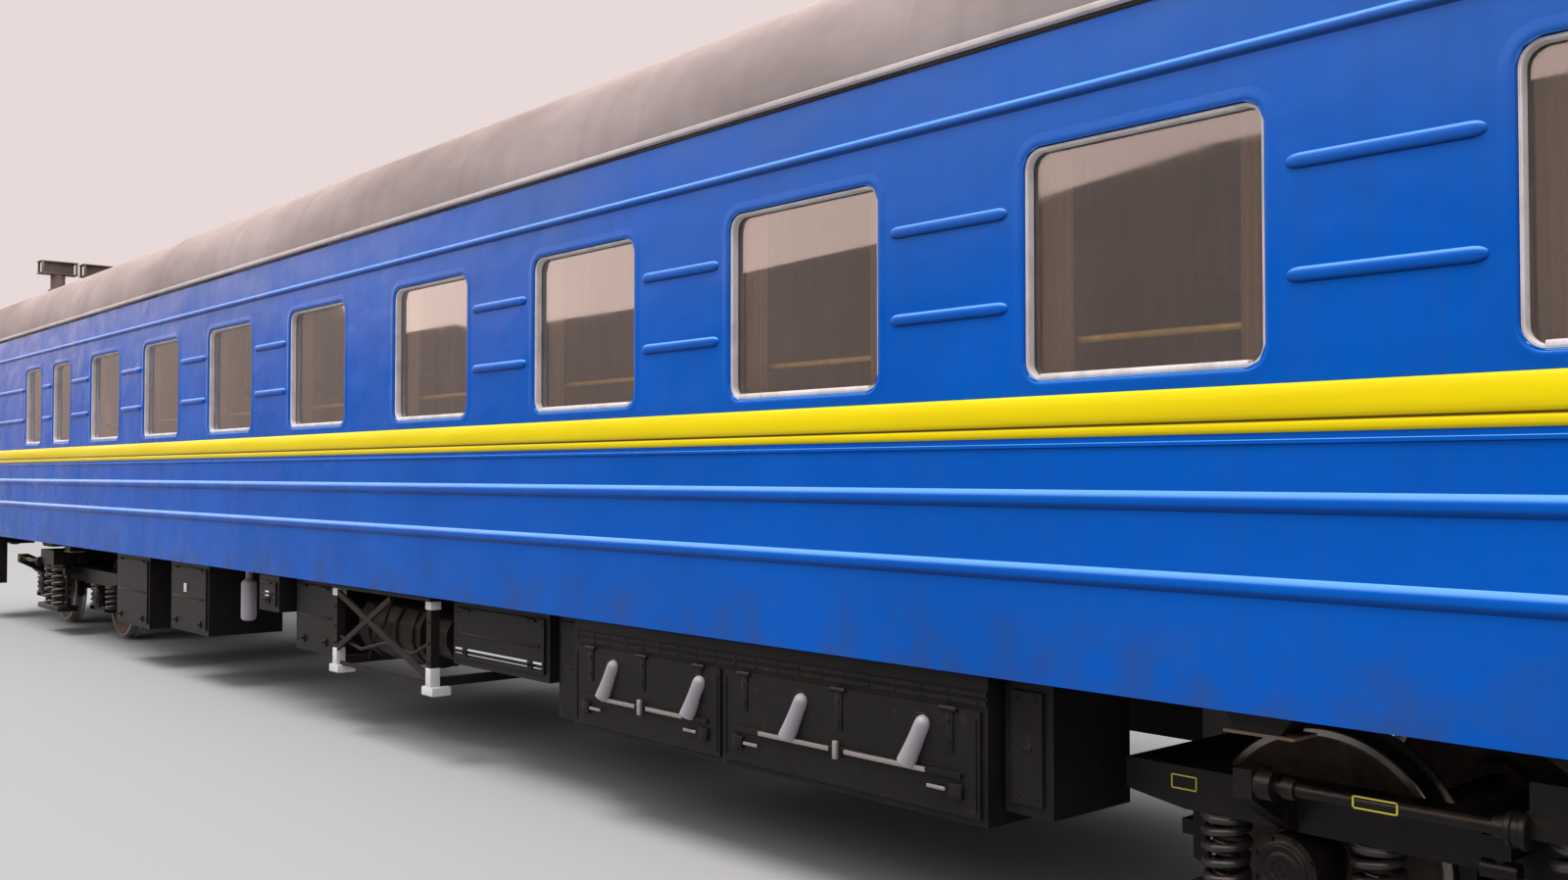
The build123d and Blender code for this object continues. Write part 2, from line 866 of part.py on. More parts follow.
# Boxes hung from the underframe, each with a raised door
# Columns: start X, end X, side, inner distance from the middle line, outer distance, bottom Z
equipment = [
    (6260, 6500, -1, 900, 1400, rail_top + 540),
    (2900, 3225, -1, 1060, 1360, rail_top + 470),
    (1700, 2860, -1, 700, 1400, rail_top + 660),
    (-880, -110, -1, 760, 1390, rail_top + 520),
    (-1390, -980, -1, 1180, 1490, rail_top + 790),
    (-3770, -2760, -1, 760, 1420, rail_top + 440),
    (-5460, -4410, -1, 760, 1420, rail_top + 367),
    (-5600, -4300, 1, 760, 1430, rail_top + 420),
    (-900, 900, 1, 700, 1430, rail_top + 480),
    (1500, 2700, 1, 760, 1430, rail_top + 520),
    (3400, 5800, 1, 760, 1450, rail_top + 470),
]
box_door_inset = 45
with BuildPart() as boxes:
    for start, end, side, inner, outer, low in equipment:
        ys = sided(side, inner, outer)
        block((start, ys[0], low), (end, ys[1], frame_low))
        ys = sided(side, outer, outer + door_proud)
        block(
            (start + box_door_inset, ys[0], low + box_door_inset),
            (end - box_door_inset, ys[1], frame_low - box_door_inset),
        )
save(boxes, "equipment_boxes")

# Hanging frame of the auxiliary set: legs with broad feet, rails and crossed struts
hanger_start = 30
hanger_end = 1490
hanger_outer = 1470
hanger_inner = 760
hanger_low = rail_top + 434
leg_width = 62
foot_height = 55
foot_margin = 45
strut_width = 42
gear_radius = 225
gear_height = rail_top + 775
with BuildPart() as hanger:
    legs = [(hanger_outer - leg_width, hanger_outer), (hanger_inner, hanger_inner + leg_width)]
    for x in (hanger_start, hanger_end):
        for near, far in legs:
            block(
                (x - leg_width / 2, -far, hanger_low + foot_height),
                (x + leg_width / 2, -near, frame_low),
            )
        block(
            (x - leg_width / 2, -hanger_outer + leg_width, hanger_low + foot_height),
            (x + leg_width / 2, -hanger_inner - leg_width, hanger_low + 2 * foot_height),
        )
        block(
            (x - leg_width / 2 - foot_margin, -hanger_outer - 10, hanger_low),
            (x + leg_width / 2 + foot_margin, -hanger_outer + 2 * leg_width, hanger_low + foot_height),
        )
    block(
        (hanger_start, -hanger_outer + 20, hanger_low + foot_height),
        (hanger_end, -hanger_outer + leg_width - 20, hanger_low + foot_height + 26),
    )
    strut_y = -hanger_outer + leg_width / 2 - 12
    for start, end in (
        ((hanger_start, frame_low - 45), (hanger_end, hanger_low + 2 * foot_height)),
        ((hanger_start, hanger_low + 3 * foot_height), (hanger_end * 0.62, frame_low - 45)),
    ):
        run = (end[0] - start[0], end[1] - start[1])
        length = hypot(*run)
        offset = (-run[1] * strut_width / 2 / length, run[0] * strut_width / 2 / length)
        with BuildSketch(Plane.XZ.offset(-strut_y)):
            with BuildLine():
                Polyline(
                    (start[0] + offset[0], start[1] + offset[1]),
                    (end[0] + offset[0], end[1] + offset[1]),
                    (end[0] - offset[0], end[1] - offset[1]),
                    (start[0] - offset[0], start[1] - offset[1]),
                    close=True,
                )
            make_face()
        extrude(amount=20)
    gear_y = -(hanger_inner + hanger_outer) / 2
    faceted(
        Plane(origin=(0, gear_y, gear_height), x_dir=(0, 1, 0), z_dir=(1, 0, 0)),
        [
            (hanger_start + 120, gear_radius),
            (hanger_end - 380, gear_radius),
            (hanger_end - 380, gear_radius * 0.72),
            (hanger_end - 120, gear_radius * 0.72),
        ],
        round_sides,
    )
    for x in (hanger_start + 300, hanger_end - 480):
        block((x - 40, gear_y - 90, gear_height), (x + 40, gear_y + 90, frame_low))
    block(
        (hanger_start - leg_width / 2, -hanger_outer - 10, frame_low - 24),
        (hanger_end + leg_width / 2, -hanger_inner, frame_low),
    )
save(hanger, "gear_hanger")

# Air reservoirs on the compartment side, slung under two cross bearers by straps, and a small
# upright one under the corridor side's sole bar
tank_radius = 170
tank_length = 1750
tank_height = rail_top + 860
# Columns: middle X, Y
tank_places = [(-1.5 * cross_bearer_pitch, 1180), (-1.5 * cross_bearer_pitch, 800)]
strap_width = 50
small_tank_x = -2000
small_tank_y = -1350
small_tank_radius = 62
small_tank_low = rail_top + 640
with BuildPart() as tanks:
    for x, y in tank_places:
        faceted(
            Plane(origin=(x, y, tank_height), x_dir=(0, 1, 0), z_dir=(1, 0, 0)),
            [(-tank_length / 2, tank_radius), (tank_length / 2, tank_radius)],
            round_sides,
        )
        for end in (-1, 1):
            strap_x = x + end * cross_bearer_pitch / 2
            block(
                (strap_x - strap_width / 2, y - 70, tank_height + tank_radius - 30),
                (strap_x + strap_width / 2, y + 70, frame_low),
            )
    faceted(
        Plane((small_tank_x, small_tank_y, 0)),
        [
            (small_tank_low, small_tank_radius * 0.7),
            (small_tank_low + 30, small_tank_radius),
            (frame_low, small_tank_radius),
        ],
        small_round_sides,
    )
save(tanks, "air_reservoirs")

# Brake cylinder on the middle line, its lever, and pull rods towards both bogies
brake_x = -3 * cross_bearer_pitch
brake_height = rail_top + 860
brake_radius = 178
brake_length = 560
pull_rod_radius = 16
pull_rod_reach = 4 * cross_bearer_pitch
lever_half = 300
with BuildPart() as brake:
    faceted(
        Plane(origin=(brake_x, 0, brake_height), x_dir=(0, 1, 0), z_dir=(1, 0, 0)),
        [(-brake_length / 2, brake_radius), (brake_length / 2, brake_radius)],
        round_sides,
    )
    block(
        (brake_x - 30, -100, brake_height),
        (brake_x + 30, 100, frame_low),
    )
    lever_x = brake_x + brake_length / 2 + 160
    block(
        (brake_x + brake_length / 2 - 10, -25, brake_height - 25),
        (lever_x, 25, brake_height + 25),
    )
    block(
        (lever_x - 20, -lever_half, brake_height - 20),
        (lever_x + 20, lever_half, brake_height + 20),
    )
    # Columns: side, start X, end X
    for side, start, end in ((1, -pull_rod_reach, lever_x), (-1, lever_x, pull_rod_reach)):
        y = side * (lever_half - 40)
        faceted(
            Plane(origin=(0, y, brake_height), x_dir=(0, 1, 0), z_dir=(1, 0, 0)),
            [(start, pull_rod_radius), (end, pull_rod_radius)],
            rod_sides,
        )
        reach = start if side > 0 else end
        block((reach - 20, y - 20, brake_height - 20), (reach + 20, y + 20, frame_low))
save(brake, "brake_rigging")

# Doors. Each leaf turns on a pin set into its hinge edge and stands on the threshold.
leaf_low = floor_top + seat_gap + 6
leaf_top = doorway_top - leaf_gap
leaf_width = doorway_far - doorway_near - hinge_gap - leaf_gap
leaf_face = wall_outer - leaf_recess
glass_rebate = 20
door_glass_depth = 12
# Columns: node name, end, side
side_doors = [
    ("left_corridor", -1, -1),
    ("right_corridor", 1, -1),
    ("left_compartment", -1, 1),
    ("right_compartment", 1, 1),
]
for name, end, side in side_doors:
    ys = sided(side, leaf_face - leaf_depth, leaf_face)
    hinge_x = end * (doorway_near + hinge_gap + pin_inset)
    hinge_y = side * (leaf_face - leaf_depth + pin_inset)
    near = end * (doorway_near + hinge_gap)
    far = end * (doorway_far - leaf_gap)
    middle_x = (near + far) / 2
    middle_z = (side_door_window_low + side_door_window_high) / 2
    height = side_door_window_high - side_door_window_low
    face = Plane(
        origin=(middle_x, side * leaf_face, middle_z), x_dir=(1, 0, 0), z_dir=(0, side, 0)
    )
    with BuildPart() as leaf:
        block((near, ys[0], leaf_low), (far, ys[1], leaf_top))
        with BuildSketch(face):
            with BuildLine():
                Polyline(
                    *soft_rectangle(side_door_window_width, height, door_window_corner),
                    close=True,
                )
            make_face()
        extrude(amount=-leaf_depth, mode=Mode.SUBTRACT)
        with BuildSketch(face.offset(-glass_rebate)):
            Rectangle(side_door_window_width + 40, height + 40)
        extrude(amount=-leaf_depth, mode=Mode.SUBTRACT)
        faceted(
            Plane((hinge_x, hinge_y, 0)),
            [(floor_top + seat_gap, pin_radius), (leaf_low, pin_radius)],
            rod_sides,
        )
    save(leaf, f"door_{name}_leaf")

    with BuildPart() as pane:
        with BuildSketch(face.offset(-glass_rebate)):
            Rectangle(side_door_window_width + 34, height + 34)
        extrude(amount=-door_glass_depth)
    save(pane, f"door_{name}_glass")

for name, end in (("left", -1), ("right", 1)):
    inner = half_body - end_leaf_recess - end_leaf_depth
    outer = half_body - end_leaf_recess
    near = -end_doorway_half + hinge_gap
    far = end_doorway_half - leaf_gap
    middle_z = (side_door_window_low + side_door_window_high) / 2
    height = side_door_window_high - side_door_window_low
    face = Plane(
        origin=(end * outer, (near + far) / 2, middle_z), x_dir=(0, 1, 0), z_dir=(end, 0, 0)
    )
    with BuildPart() as leaf:
        block((end * inner, near, leaf_low), (end * outer, far, leaf_top))
        with BuildSketch(face):
            with BuildLine():
                Polyline(
                    *soft_rectangle(end_door_window_width, height, door_window_corner),
                    close=True,
                )
            make_face()
        extrude(amount=-end_leaf_depth, mode=Mode.SUBTRACT)
        with BuildSketch(face.offset(-glass_rebate)):
            Rectangle(end_door_window_width + 40, height + 40)
        extrude(amount=-end_leaf_depth, mode=Mode.SUBTRACT)
        faceted(
            Plane((end * (inner + pin_inset), near + pin_inset, 0)),
            [(floor_top + seat_gap, pin_radius), (leaf_low, pin_radius)],
            rod_sides,
        )
    save(leaf, f"end_door_{name}_leaf")

    with BuildPart() as pane:
        with BuildSketch(face.offset(-glass_rebate)):
            Rectangle(end_door_window_width + 34, height + 34)
        extrude(amount=-door_glass_depth)
    save(pane, f"end_door_{name}_glass")

# Wheelsets: a rail axle with its two wheels, turned in one profile about the axle
# Columns: distance from the middle, radius
wheel_back = 720
tread_start = 752
wheel_front = 850
hub_front = 886
recess_floor = 812
recess_radius = 405
hub_radius = 128
for name, centre in bogies:
    for place, direction in wheelsets:
        x = centre + direction * wheelbase / 2
        with BuildPart() as wheelset:
            for side in (-1, 1):
                outward = Plane(origin=(x, 0, axle_height), x_dir=(1, 0, 0), z_dir=(0, side, 0))
                faceted(outward, [(0, axle_radius), (wheel_back, axle_radius)], round_sides)
                faceted(
                    outward,
                    [
                        (wheel_back, flange_radius),
                        (tread_start, wheel_radius),
                        (wheel_front, wheel_radius),
                    ],
                    wheel_sides,
                )
                faceted(
                    outward,
                    [(recess_floor, recess_radius), (wheel_front, recess_radius)],
                    wheel_sides,
                    mode=Mode.SUBTRACT,
                )
                faceted(outward, [(recess_floor, hub_radius), (hub_front, hub_radius)], round_sides)
                faceted(
                    outward,
                    [(hub_front, journal_radius), (journal_end, journal_radius)],
                    round_sides,
                )
        save(wheelset, f"wheelset_{name}_{place}")

# Bogies
bogie_transom_near = 480
bogie_transom_far = 620
end_beam_width = 120
beam_inner = journal_half - side_beam_width / 2
beam_outer = journal_half + side_beam_width / 2
arm_outer = 1400
link_x = 420
link_width = 40
shoe_radius = wheel_radius + shoe_gap
shoe_depth = 52
shoe_sweep = 34
shoe_near = 765
shoe_far = 842
brake_beam_height = 60
brake_beam_width = 50
rod_height = rail_top + 820
rod_y = 1350
rod_radius = 22
wing_half = 395
wing_low = rail_top + 312
wing_depth = 42
front_cover_radius = 96
front_cover_depth = 18
for name, centre in bogies:
    with BuildPart() as frame:
        for side in (-1, 1):
            with BuildSketch(Plane.XZ.offset(-side * journal_half)):
                with BuildLine():
                    Polyline(
                        (centre - bogie_half_length, side_beam_high - 120),
                        (centre - bogie_half_length, side_beam_high),
                        (centre + bogie_half_length, side_beam_high),
                        (centre + bogie_half_length, side_beam_high - 120),
                        (centre + wheelbase / 2 + 420, side_beam_low),
                        (centre - wheelbase / 2 - 420, side_beam_low),
                        close=True,
                    )
                make_face()
            extrude(amount=side_beam_width / 2, both=True)
        for direction in (-1, 1):
            near = centre + direction * bogie_transom_near
            far = centre + direction * bogie_transom_far
            block((near, -beam_inner, side_beam_low + 20), (far, beam_inner, side_beam_high))
            far = centre + direction * bogie_half_length
            near = far - direction * end_beam_width
            block((near, -beam_inner, side_beam_high - 110), (far, beam_inner, side_beam_high))
            for side in (-1, 1):
                ys = sided(side, beam_outer, centre_spring_half + link_width)
                x = centre + direction * link_x
                block((x - 45, ys[0], side_beam_high - 70), (x + 45, ys[1], side_beam_high))
        # Arms that take the far ends of the two traction rods
        for side in (-1, 1):
            x = centre + side * wheelbase / 2
            with BuildSketch(Plane.YZ.offset(x - 35)):
                with BuildLine():
                    Polyline(
                        (side * beam_outer, side_beam_low),
                        (side * arm_outer, side_beam_high),
                        (side * arm_outer, rod_height + 50),
                        (side * (rod_y - 60), rod_height + 50),
                        (side * beam_outer, side_beam_high),
                        close=True,
                    )
                make_face()
            extrude(amount=70)
    save(frame, f"bogie_{name}_frame")

    with BuildPart() as bolster:
        with BuildSketch(Plane.XY.offset(bogie_bolster_low)):
            with BuildLine():
                near = centre_spring_half - centre_spring_radius - 20
                far = centre_spring_half + centre_spring_radius + 10
                Polyline(
                    (centre - bogie_bolster_half, -near + 150),
                    (centre - bogie_bolster_half, near - 150),
                    (centre - bogie_bolster_end_half, near),
                    (centre - bogie_bolster_end_half, far),
                    (centre + bogie_bolster_end_half, far),
                    (centre + bogie_bolster_end_half, near),
                    (centre + bogie_bolster_half, near - 150),
                    (centre + bogie_bolster_half, -near + 150),
                    (centre + bogie_bolster_end_half, -near),
                    (centre + bogie_bolster_end_half, -far),
                    (centre - bogie_bolster_end_half, -far),
                    (centre - bogie_bolster_end_half, -near),
                    close=True,
                )
            make_face()
        extrude(amount=bogie_bolster_high - bogie_bolster_low)
        bowl_top = body_bolster_low - centre_plate_depth - seat_gap
        faceted(
            Plane((centre, 0, 0)),
            [(bogie_bolster_high, centre_plate_radius - 20), (bowl_top, centre_plate_radius - 20)],
            round_sides,
        )
        for side in (-1, 1):
            ys = sided(side, 700, 860)
            block(
                (centre - 110, ys[0], bogie_bolster_high),
                (centre + 110, ys[1], body_bolster_low - 12),
            )
    save(bolster, f"bogie_{name}_bolster")

    with BuildPart() as springs:
        for side in (-1, 1):
            for direction in (-1, 1):
                for end in (-1, 1):
                    x = centre + direction * wheelbase / 2 + end * wing_spring_offset
                    faceted(
                        Plane((x, side * journal_half, 0)),
                        [(wing_low + wing_depth, wing_spring_radius), (side_beam_low, wing_spring_radius)],
                        spring_sides,
                    )
                x = centre + direction * centre_spring_offset
                faceted(
                    Plane((x, side * centre_spring_half, 0)),
                    [(spring_tray_top, centre_spring_radius), (bogie_bolster_low, centre_spring_radius)],
                    spring_sides,
                )
    save(springs, f"bogie_{name}_springs")

    with BuildPart() as axle_boxes:
        for direction in (-1, 1):
            x = centre + direction * wheelbase / 2
            for side in (-1, 1):
                inner = journal_half - axle_box_length / 2
                outward = Plane(origin=(x, 0, axle_height), x_dir=(1, 0, 0), z_dir=(0, side, 0))
                faceted(
                    outward,
                    [
                        (inner, axle_box_radius),
                        (inner + axle_box_length, axle_box_radius),
                        (inner + axle_box_length, front_cover_radius),
                        (inner + axle_box_length + front_cover_depth, front_cover_radius),
                    ],
                    small_round_sides,
                )
                with BuildSketch(Plane.XZ.offset(-side * journal_half)):
                    with BuildLine():
                        Polyline(
                            (x - wing_half, wing_low),
                            (x - wing_half, wing_low + wing_depth),
                            (x - wing_spring_offset + wing_spring_radius, wing_low + wing_depth),
                            (x - axle_box_radius * 0.93, axle_height),
                            (x + axle_box_radius * 0.93, axle_height),
                            (x + wing_spring_offset - wing_spring_radius, wing_low + wing_depth),
                            (x + wing_half, wing_low + wing_depth),
                            (x + wing_half, wing_low),
                            close=True,
                        )
                    make_face()
                extrude(amount=side_beam_width / 2 - 5, both=True)
                bore = journal_radius + journal_clearance
                faceted(
                    outward,
                    [(inner, bore), (journal_end + seat_gap, bore)],
                    round_sides,
                    mode=Mode.SUBTRACT,
                )
    save(axle_boxes, f"bogie_{name}_axle_boxes")

    # Spring trays on their swing links, traction rods at the bolster's ends
    with BuildPart() as links:
        for side in (-1, 1):
            near = centre_spring_half - centre_spring_radius
            far = centre_spring_half + centre_spring_radius
            ys = sided(side, near, far)
            block(
                (centre - link_x - 40, ys[0], spring_tray_top - spring_tray_depth),
                (centre + link_x + 40, ys[1], spring_tray_top),
            )
            for direction in (-1, 1):
                x = centre + direction * link_x
                ys = sided(side, centre_spring_half - 20, centre_spring_half + 20)
                block(
                    (x - link_width / 2, ys[0], spring_tray_top),
                    (x + link_width / 2, ys[1], side_beam_high - 70),
                )
        for side in (-1, 1):
            start = centre + side * bogie_bolster_end_half
            end = centre + side * (wheelbase / 2 - 35)
            plane = Plane(
                origin=(start, side * rod_y, rod_height), x_dir=(0, 1, 0), z_dir=(side, 0, 0)
            )
            faceted(plane, [(0, rod_radius), (abs(end - start), rod_radius)], rod_sides)
    save(links, f"bogie_{name}_links")

    # Clasp brakes: shoes each side of every wheel on cross beams hung from the frame
    with BuildPart() as brakes:
        for direction in (-1, 1):
            axle_x = centre + direction * wheelbase / 2
            for way in (-1, 1):
                for side in (-1, 1):
                    shoe_plane = Plane(
                        origin=(axle_x, side * shoe_near, axle_height),
                        x_dir=(1, 0, 0),
                        z_dir=(0, -1, 0),
                    )
                    with BuildSketch(shoe_plane):
                        half = shoe_sweep / 2
                        face_points = [
                            (
                                way * shoe_radius * cos(radians(angle)),
                                shoe_radius * sin(radians(angle)),
                            )
                            for angle in (-half, 0, half)
                        ]
                        back = way * (shoe_radius + shoe_depth)
                        with BuildLine():
                            Polyline(
                                *face_points,
                                (back, face_points[-1][1] * 0.8),
                                (back, face_points[0][1] * 0.8),
                                close=True,
                            )
                        make_face()
                    extrude(amount=-side * (shoe_far - shoe_near))
                beam_near = axle_x + way * (shoe_radius + shoe_depth)
                beam_far = beam_near + way * brake_beam_width
                block(
                    (beam_near, -shoe_far, axle_height - brake_beam_height / 2),
                    (beam_far, shoe_far, axle_height + brake_beam_height / 2),
                )
                outward = way == direction
                top = side_beam_high - 110 if outward else side_beam_low + 20
                for side in (-1, 1):
                    ys = sided(side, 560, 600)
                    block(
                        (beam_near + way * 20, ys[0], axle_height),
                        (beam_far + way * 22, ys[1], top),
                    )
    save(brakes, f"bogie_{name}_brake_gear")
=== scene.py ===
import math

import bmesh
import bpy
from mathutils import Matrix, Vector


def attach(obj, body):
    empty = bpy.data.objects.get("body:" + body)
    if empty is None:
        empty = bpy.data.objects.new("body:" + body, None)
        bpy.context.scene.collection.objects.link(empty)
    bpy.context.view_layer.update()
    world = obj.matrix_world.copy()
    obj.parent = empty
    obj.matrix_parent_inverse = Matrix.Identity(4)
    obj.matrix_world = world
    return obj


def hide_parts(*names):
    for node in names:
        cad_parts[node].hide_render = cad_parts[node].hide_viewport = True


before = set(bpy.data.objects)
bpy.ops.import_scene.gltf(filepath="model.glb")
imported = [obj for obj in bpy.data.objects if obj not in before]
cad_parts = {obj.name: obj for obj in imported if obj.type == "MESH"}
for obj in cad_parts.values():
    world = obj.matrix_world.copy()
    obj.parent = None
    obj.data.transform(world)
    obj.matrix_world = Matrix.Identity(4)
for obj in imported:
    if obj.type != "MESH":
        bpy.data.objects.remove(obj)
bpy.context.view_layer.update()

# The stand: a pale floor and soft overcast daylight. The camera stands beside the coach at its
# right end and looks along it, as the photographer did.
scene = bpy.context.scene
scene.view_settings.view_transform = "Standard"
camera = bpy.data.cameras.new("camera")
camera.sensor_width = 36
camera.lens = 31.9
camera.clip_end = 300
viewer = bpy.data.objects.new("camera", camera)
viewer.location = (9.857, -5.7325, 1.908)
viewer.rotation_euler = Vector((-0.7510, 0.6598, 0.0244)).to_track_quat("-Z", "Y").to_euler()
scene.collection.objects.link(viewer)
scene.camera = viewer


def lamp(name, place, aim, size, power):
    light = bpy.data.lights.new(name, "AREA")
    light.shape = "DISK"
    light.size = size
    light.energy = power
    holder = bpy.data.objects.new(name, light)
    holder.location = place
    holder.rotation_euler = (Vector(aim) - Vector(place)).to_track_quat("-Z", "Y").to_euler()
    scene.collection.objects.link(holder)


lamp("sky_left", (-6, -16, 15), (0, 0, 2), 14, 650)
lamp("sky_right", (15, -12, 11), (6, 0, 2), 12, 450)
lamp("sky_back", (0, 16, 14), (0, 0, 2), 14, 700)
cloud_sun = bpy.data.lights.new("cloud_sun", "SUN")
cloud_sun.energy = 2.25
cloud_sun.angle = math.radians(32)
sun_holder = bpy.data.objects.new("cloud_sun", cloud_sun)
sun_holder.rotation_euler = Vector((0.08, 0.36, -0.93)).to_track_quat("-Z", "Y").to_euler()
scene.collection.objects.link(sun_holder)

world = bpy.data.worlds.new("overcast")
scene.world = world
world.use_nodes = True
sky = world.node_tree
sky.nodes.clear()
sky_out = sky.nodes.new("ShaderNodeOutputWorld")
sky_mix = sky.nodes.new("ShaderNodeMixShader")
daylight = sky.nodes.new("ShaderNodeBackground")
daylight.inputs["Color"].default_value = (0.93, 0.96, 1.0, 1)
sky_place = sky.nodes.new("ShaderNodeTexCoord")
sky_parts = sky.nodes.new("ShaderNodeSeparateXYZ")
sky.links.new(sky_place.outputs["Generated"], sky_parts.inputs[0])
overhead = sky.nodes.new("ShaderNodeMapRange")
sky.links.new(sky_parts.outputs["Z"], overhead.inputs[0])
overhead.inputs[1].default_value = -0.1
overhead.inputs[2].default_value = 0.9
overhead.inputs[3].default_value = 0.17
overhead.inputs[4].default_value = 0.82
sky.links.new(overhead.outputs[0], daylight.inputs["Strength"])
backdrop = sky.nodes.new("ShaderNodeBackground")
backdrop.inputs["Color"].default_value = (0.80, 0.70, 0.69, 1)
backdrop.inputs["Strength"].default_value = 1.0
# Reflections see brighter cloud overhead.
zenith = sky.nodes.new("ShaderNodeMapRange")
sky.links.new(sky_parts.outputs["Z"], zenith.inputs[0])
zenith.inputs[1].default_value = 0.35
zenith.inputs[2].default_value = 0.85
zenith.inputs[3].default_value = 2.9
zenith.inputs[4].default_value = 7.0
mirrored = sky.nodes.new("ShaderNodeBackground")
mirrored.inputs["Color"].default_value = (0.90, 0.68, 0.60, 1)
sky.links.new(zenith.outputs[0], mirrored.inputs["Strength"])
rays = sky.nodes.new("ShaderNodeLightPath")
mirror_mix = sky.nodes.new("ShaderNodeMixShader")
sky.links.new(rays.outputs["Is Glossy Ray"], mirror_mix.inputs[0])
sky.links.new(daylight.outputs[0], mirror_mix.inputs[1])
sky.links.new(mirrored.outputs[0], mirror_mix.inputs[2])
seen = sky.nodes.new("ShaderNodeMath")
seen.operation = "MAXIMUM"
sky.links.new(rays.outputs["Is Camera Ray"], seen.inputs[0])
sky.links.new(rays.outputs["Is Transmission Ray"], seen.inputs[1])
sky.links.new(seen.outputs[0], sky_mix.inputs[0])
sky.links.new(mirror_mix.outputs[0], sky_mix.inputs[1])
sky.links.new(backdrop.outputs[0], sky_mix.inputs[2])
sky.links.new(sky_mix.outputs[0], sky_out.inputs[0])

floor_reach = 400
floor_corners = [(floor_reach * x, floor_reach * y, 0) for x, y in ((-1, -1), (1, -1), (1, 1), (-1, 1))]
ground_mesh = bpy.data.meshes.new("ground")
ground_mesh.from_pydata(floor_corners, [], [(0, 1, 2, 3)])
ground = bpy.data.objects.new("ground", ground_mesh)
scene.collection.objects.link(ground)
ground_paint = bpy.data.materials.new("pale_floor")
ground_paint.use_nodes = True
ground_shader = ground_paint.node_tree.nodes["Principled BSDF"]
ground_shader.inputs["Base Color"].default_value = (0.47, 0.455, 0.445, 1)
ground_shader.inputs["Roughness"].default_value = 0.9
ground_shader.inputs["Specular IOR Level"].default_value = 0.0
ground_mesh.materials.append(ground_paint)

# Two long cards stand beside the coach for its panes and paint to mirror; nothing else sees them.
card_paint = bpy.data.materials.new("reflection_card")
card_paint.use_nodes = True
card_shader = card_paint.node_tree.nodes["Principled BSDF"]
card_shader.inputs["Base Color"].default_value = (0.02, 0.015, 0.012, 1)
card_shader.inputs["Emission Color"].default_value = (0.90, 0.66, 0.58, 1)
card_shader.inputs["Emission Strength"].default_value = 0.15
# Columns: place along the coach, height of the roofs opposite
roofs_opposite = [
    (60, 8.0), (-4, 8.0), (-11, 7.3), (-20, 7.0), (-22, 6.6), (-31, 6.6), (-33, 7.0), (-40, 7.0), (-43, 9.0),
    (-130, 9.8),
]
card_left, card_right = roofs_opposite[-1][0], roofs_opposite[0][0]
for name, y in (("card_front", -20), ("card_back", 20)):
    card_mesh = bpy.data.meshes.new(name)
    outline = [(card_left, y, 0), (card_right, y, 0)] + [(x, y, z) for x, z in roofs_opposite]
    card_mesh.from_pydata(outline, [], [tuple(range(len(outline)))])
    card_mesh.materials.append(card_paint)
    card = bpy.data.objects.new(name, card_mesh)
    scene.collection.objects.link(card)
    card.visible_camera = False
    card.visible_diffuse = False
    card.visible_transmission = False
    card.visible_shadow = False


# The body sheets: cold-rolled steel, welded to the body's posts and painted blue. The thin sheet
# is never quite flat, rain runs down it in streaks, and its paint bleaches a little under the roof.
def effect(name, inputs, outputs):
    """An empty shader group with its named sockets, given as (name, kind, start value)."""
    group = bpy.data.node_groups.new(name, "ShaderNodeTree")
    for label, kind, start in inputs:
        socket = group.interface.new_socket(label, in_out="INPUT", socket_type="NodeSocket" + kind)
        socket.default_value = start
    for label, kind in outputs:
        group.interface.new_socket(label, in_out="OUTPUT", socket_type="NodeSocket" + kind)
    return group, group.nodes.new("NodeGroupInput"), group.nodes.new("NodeGroupOutput")


def feed(tree, node, values):
    """Gives each named or numbered socket of a node its value or its link."""
    for label, value in values.items():
        socket = node.inputs[label]
        if isinstance(value, bpy.types.NodeSocket):
            tree.links.new(value, socket)
        else:
            socket.default_value = value
    return node


def noise(tree, scale, detail=3.0, stretch=(1, 1, 1), rough=0.5):
    """Noise in the coach's own metres, drawn out along an axis where stretch is small."""
    place = tree.nodes.new("ShaderNodeTexCoord")
    size = tree.nodes.new("ShaderNodeMapping")
    tree.links.new(place.outputs["Object"], size.inputs["Vector"])
    size.inputs["Scale"].default_value = stretch
    cloud = tree.nodes.new("ShaderNodeTexNoise")
    values = {"Vector": size.outputs["Vector"], "Scale": scale, "Detail": detail, "Roughness": rough}
    return feed(tree, cloud, values).outputs["Fac"]


def spread(tree, value, low, high, to_low=0.0, to_high=1.0):
    """Stretches the part of a value between low and high to a new range."""
    node = tree.nodes.new("ShaderNodeMapRange")
    values = {0: value, 1: low, 2: high, 3: to_low, 4: to_high}
    return feed(tree, node, values).outputs[0]


def maths(tree, operation, first, second):
    node = tree.nodes.new("ShaderNodeMath")
    node.operation = operation
    return feed(tree, node, {0: first, 1: second}).outputs[0]


def tint(tree, amount, first, second, blend="MIX"):
    node = tree.nodes.new("ShaderNodeMix")
    node.data_type = "RGBA"
    node.blend_type = blend
    feed(tree, node, {0: amount, 6: first, 7: second})
    return node.outputs[2]


def height_along(tree, axis):
    """The coach's own coordinate along one axis, in metres."""
    place = tree.nodes.new("ShaderNodeTexCoord")
    parts = tree.nodes.new("ShaderNodeSeparateXYZ")
    tree.links.new(place.outputs["Object"], parts.inputs[0])
    return parts.outputs[axis]


def facing_up(tree):
    """How far a face looks up: 1 for flat on top, 0 for upright, -1 for an underside."""
    lie = tree.nodes.new("ShaderNodeNewGeometry")
    parts = tree.nodes.new("ShaderNodeSeparateXYZ")
    tree.links.new(lie.outputs["Normal"], parts.inputs[0])
    return parts.outputs["Z"]


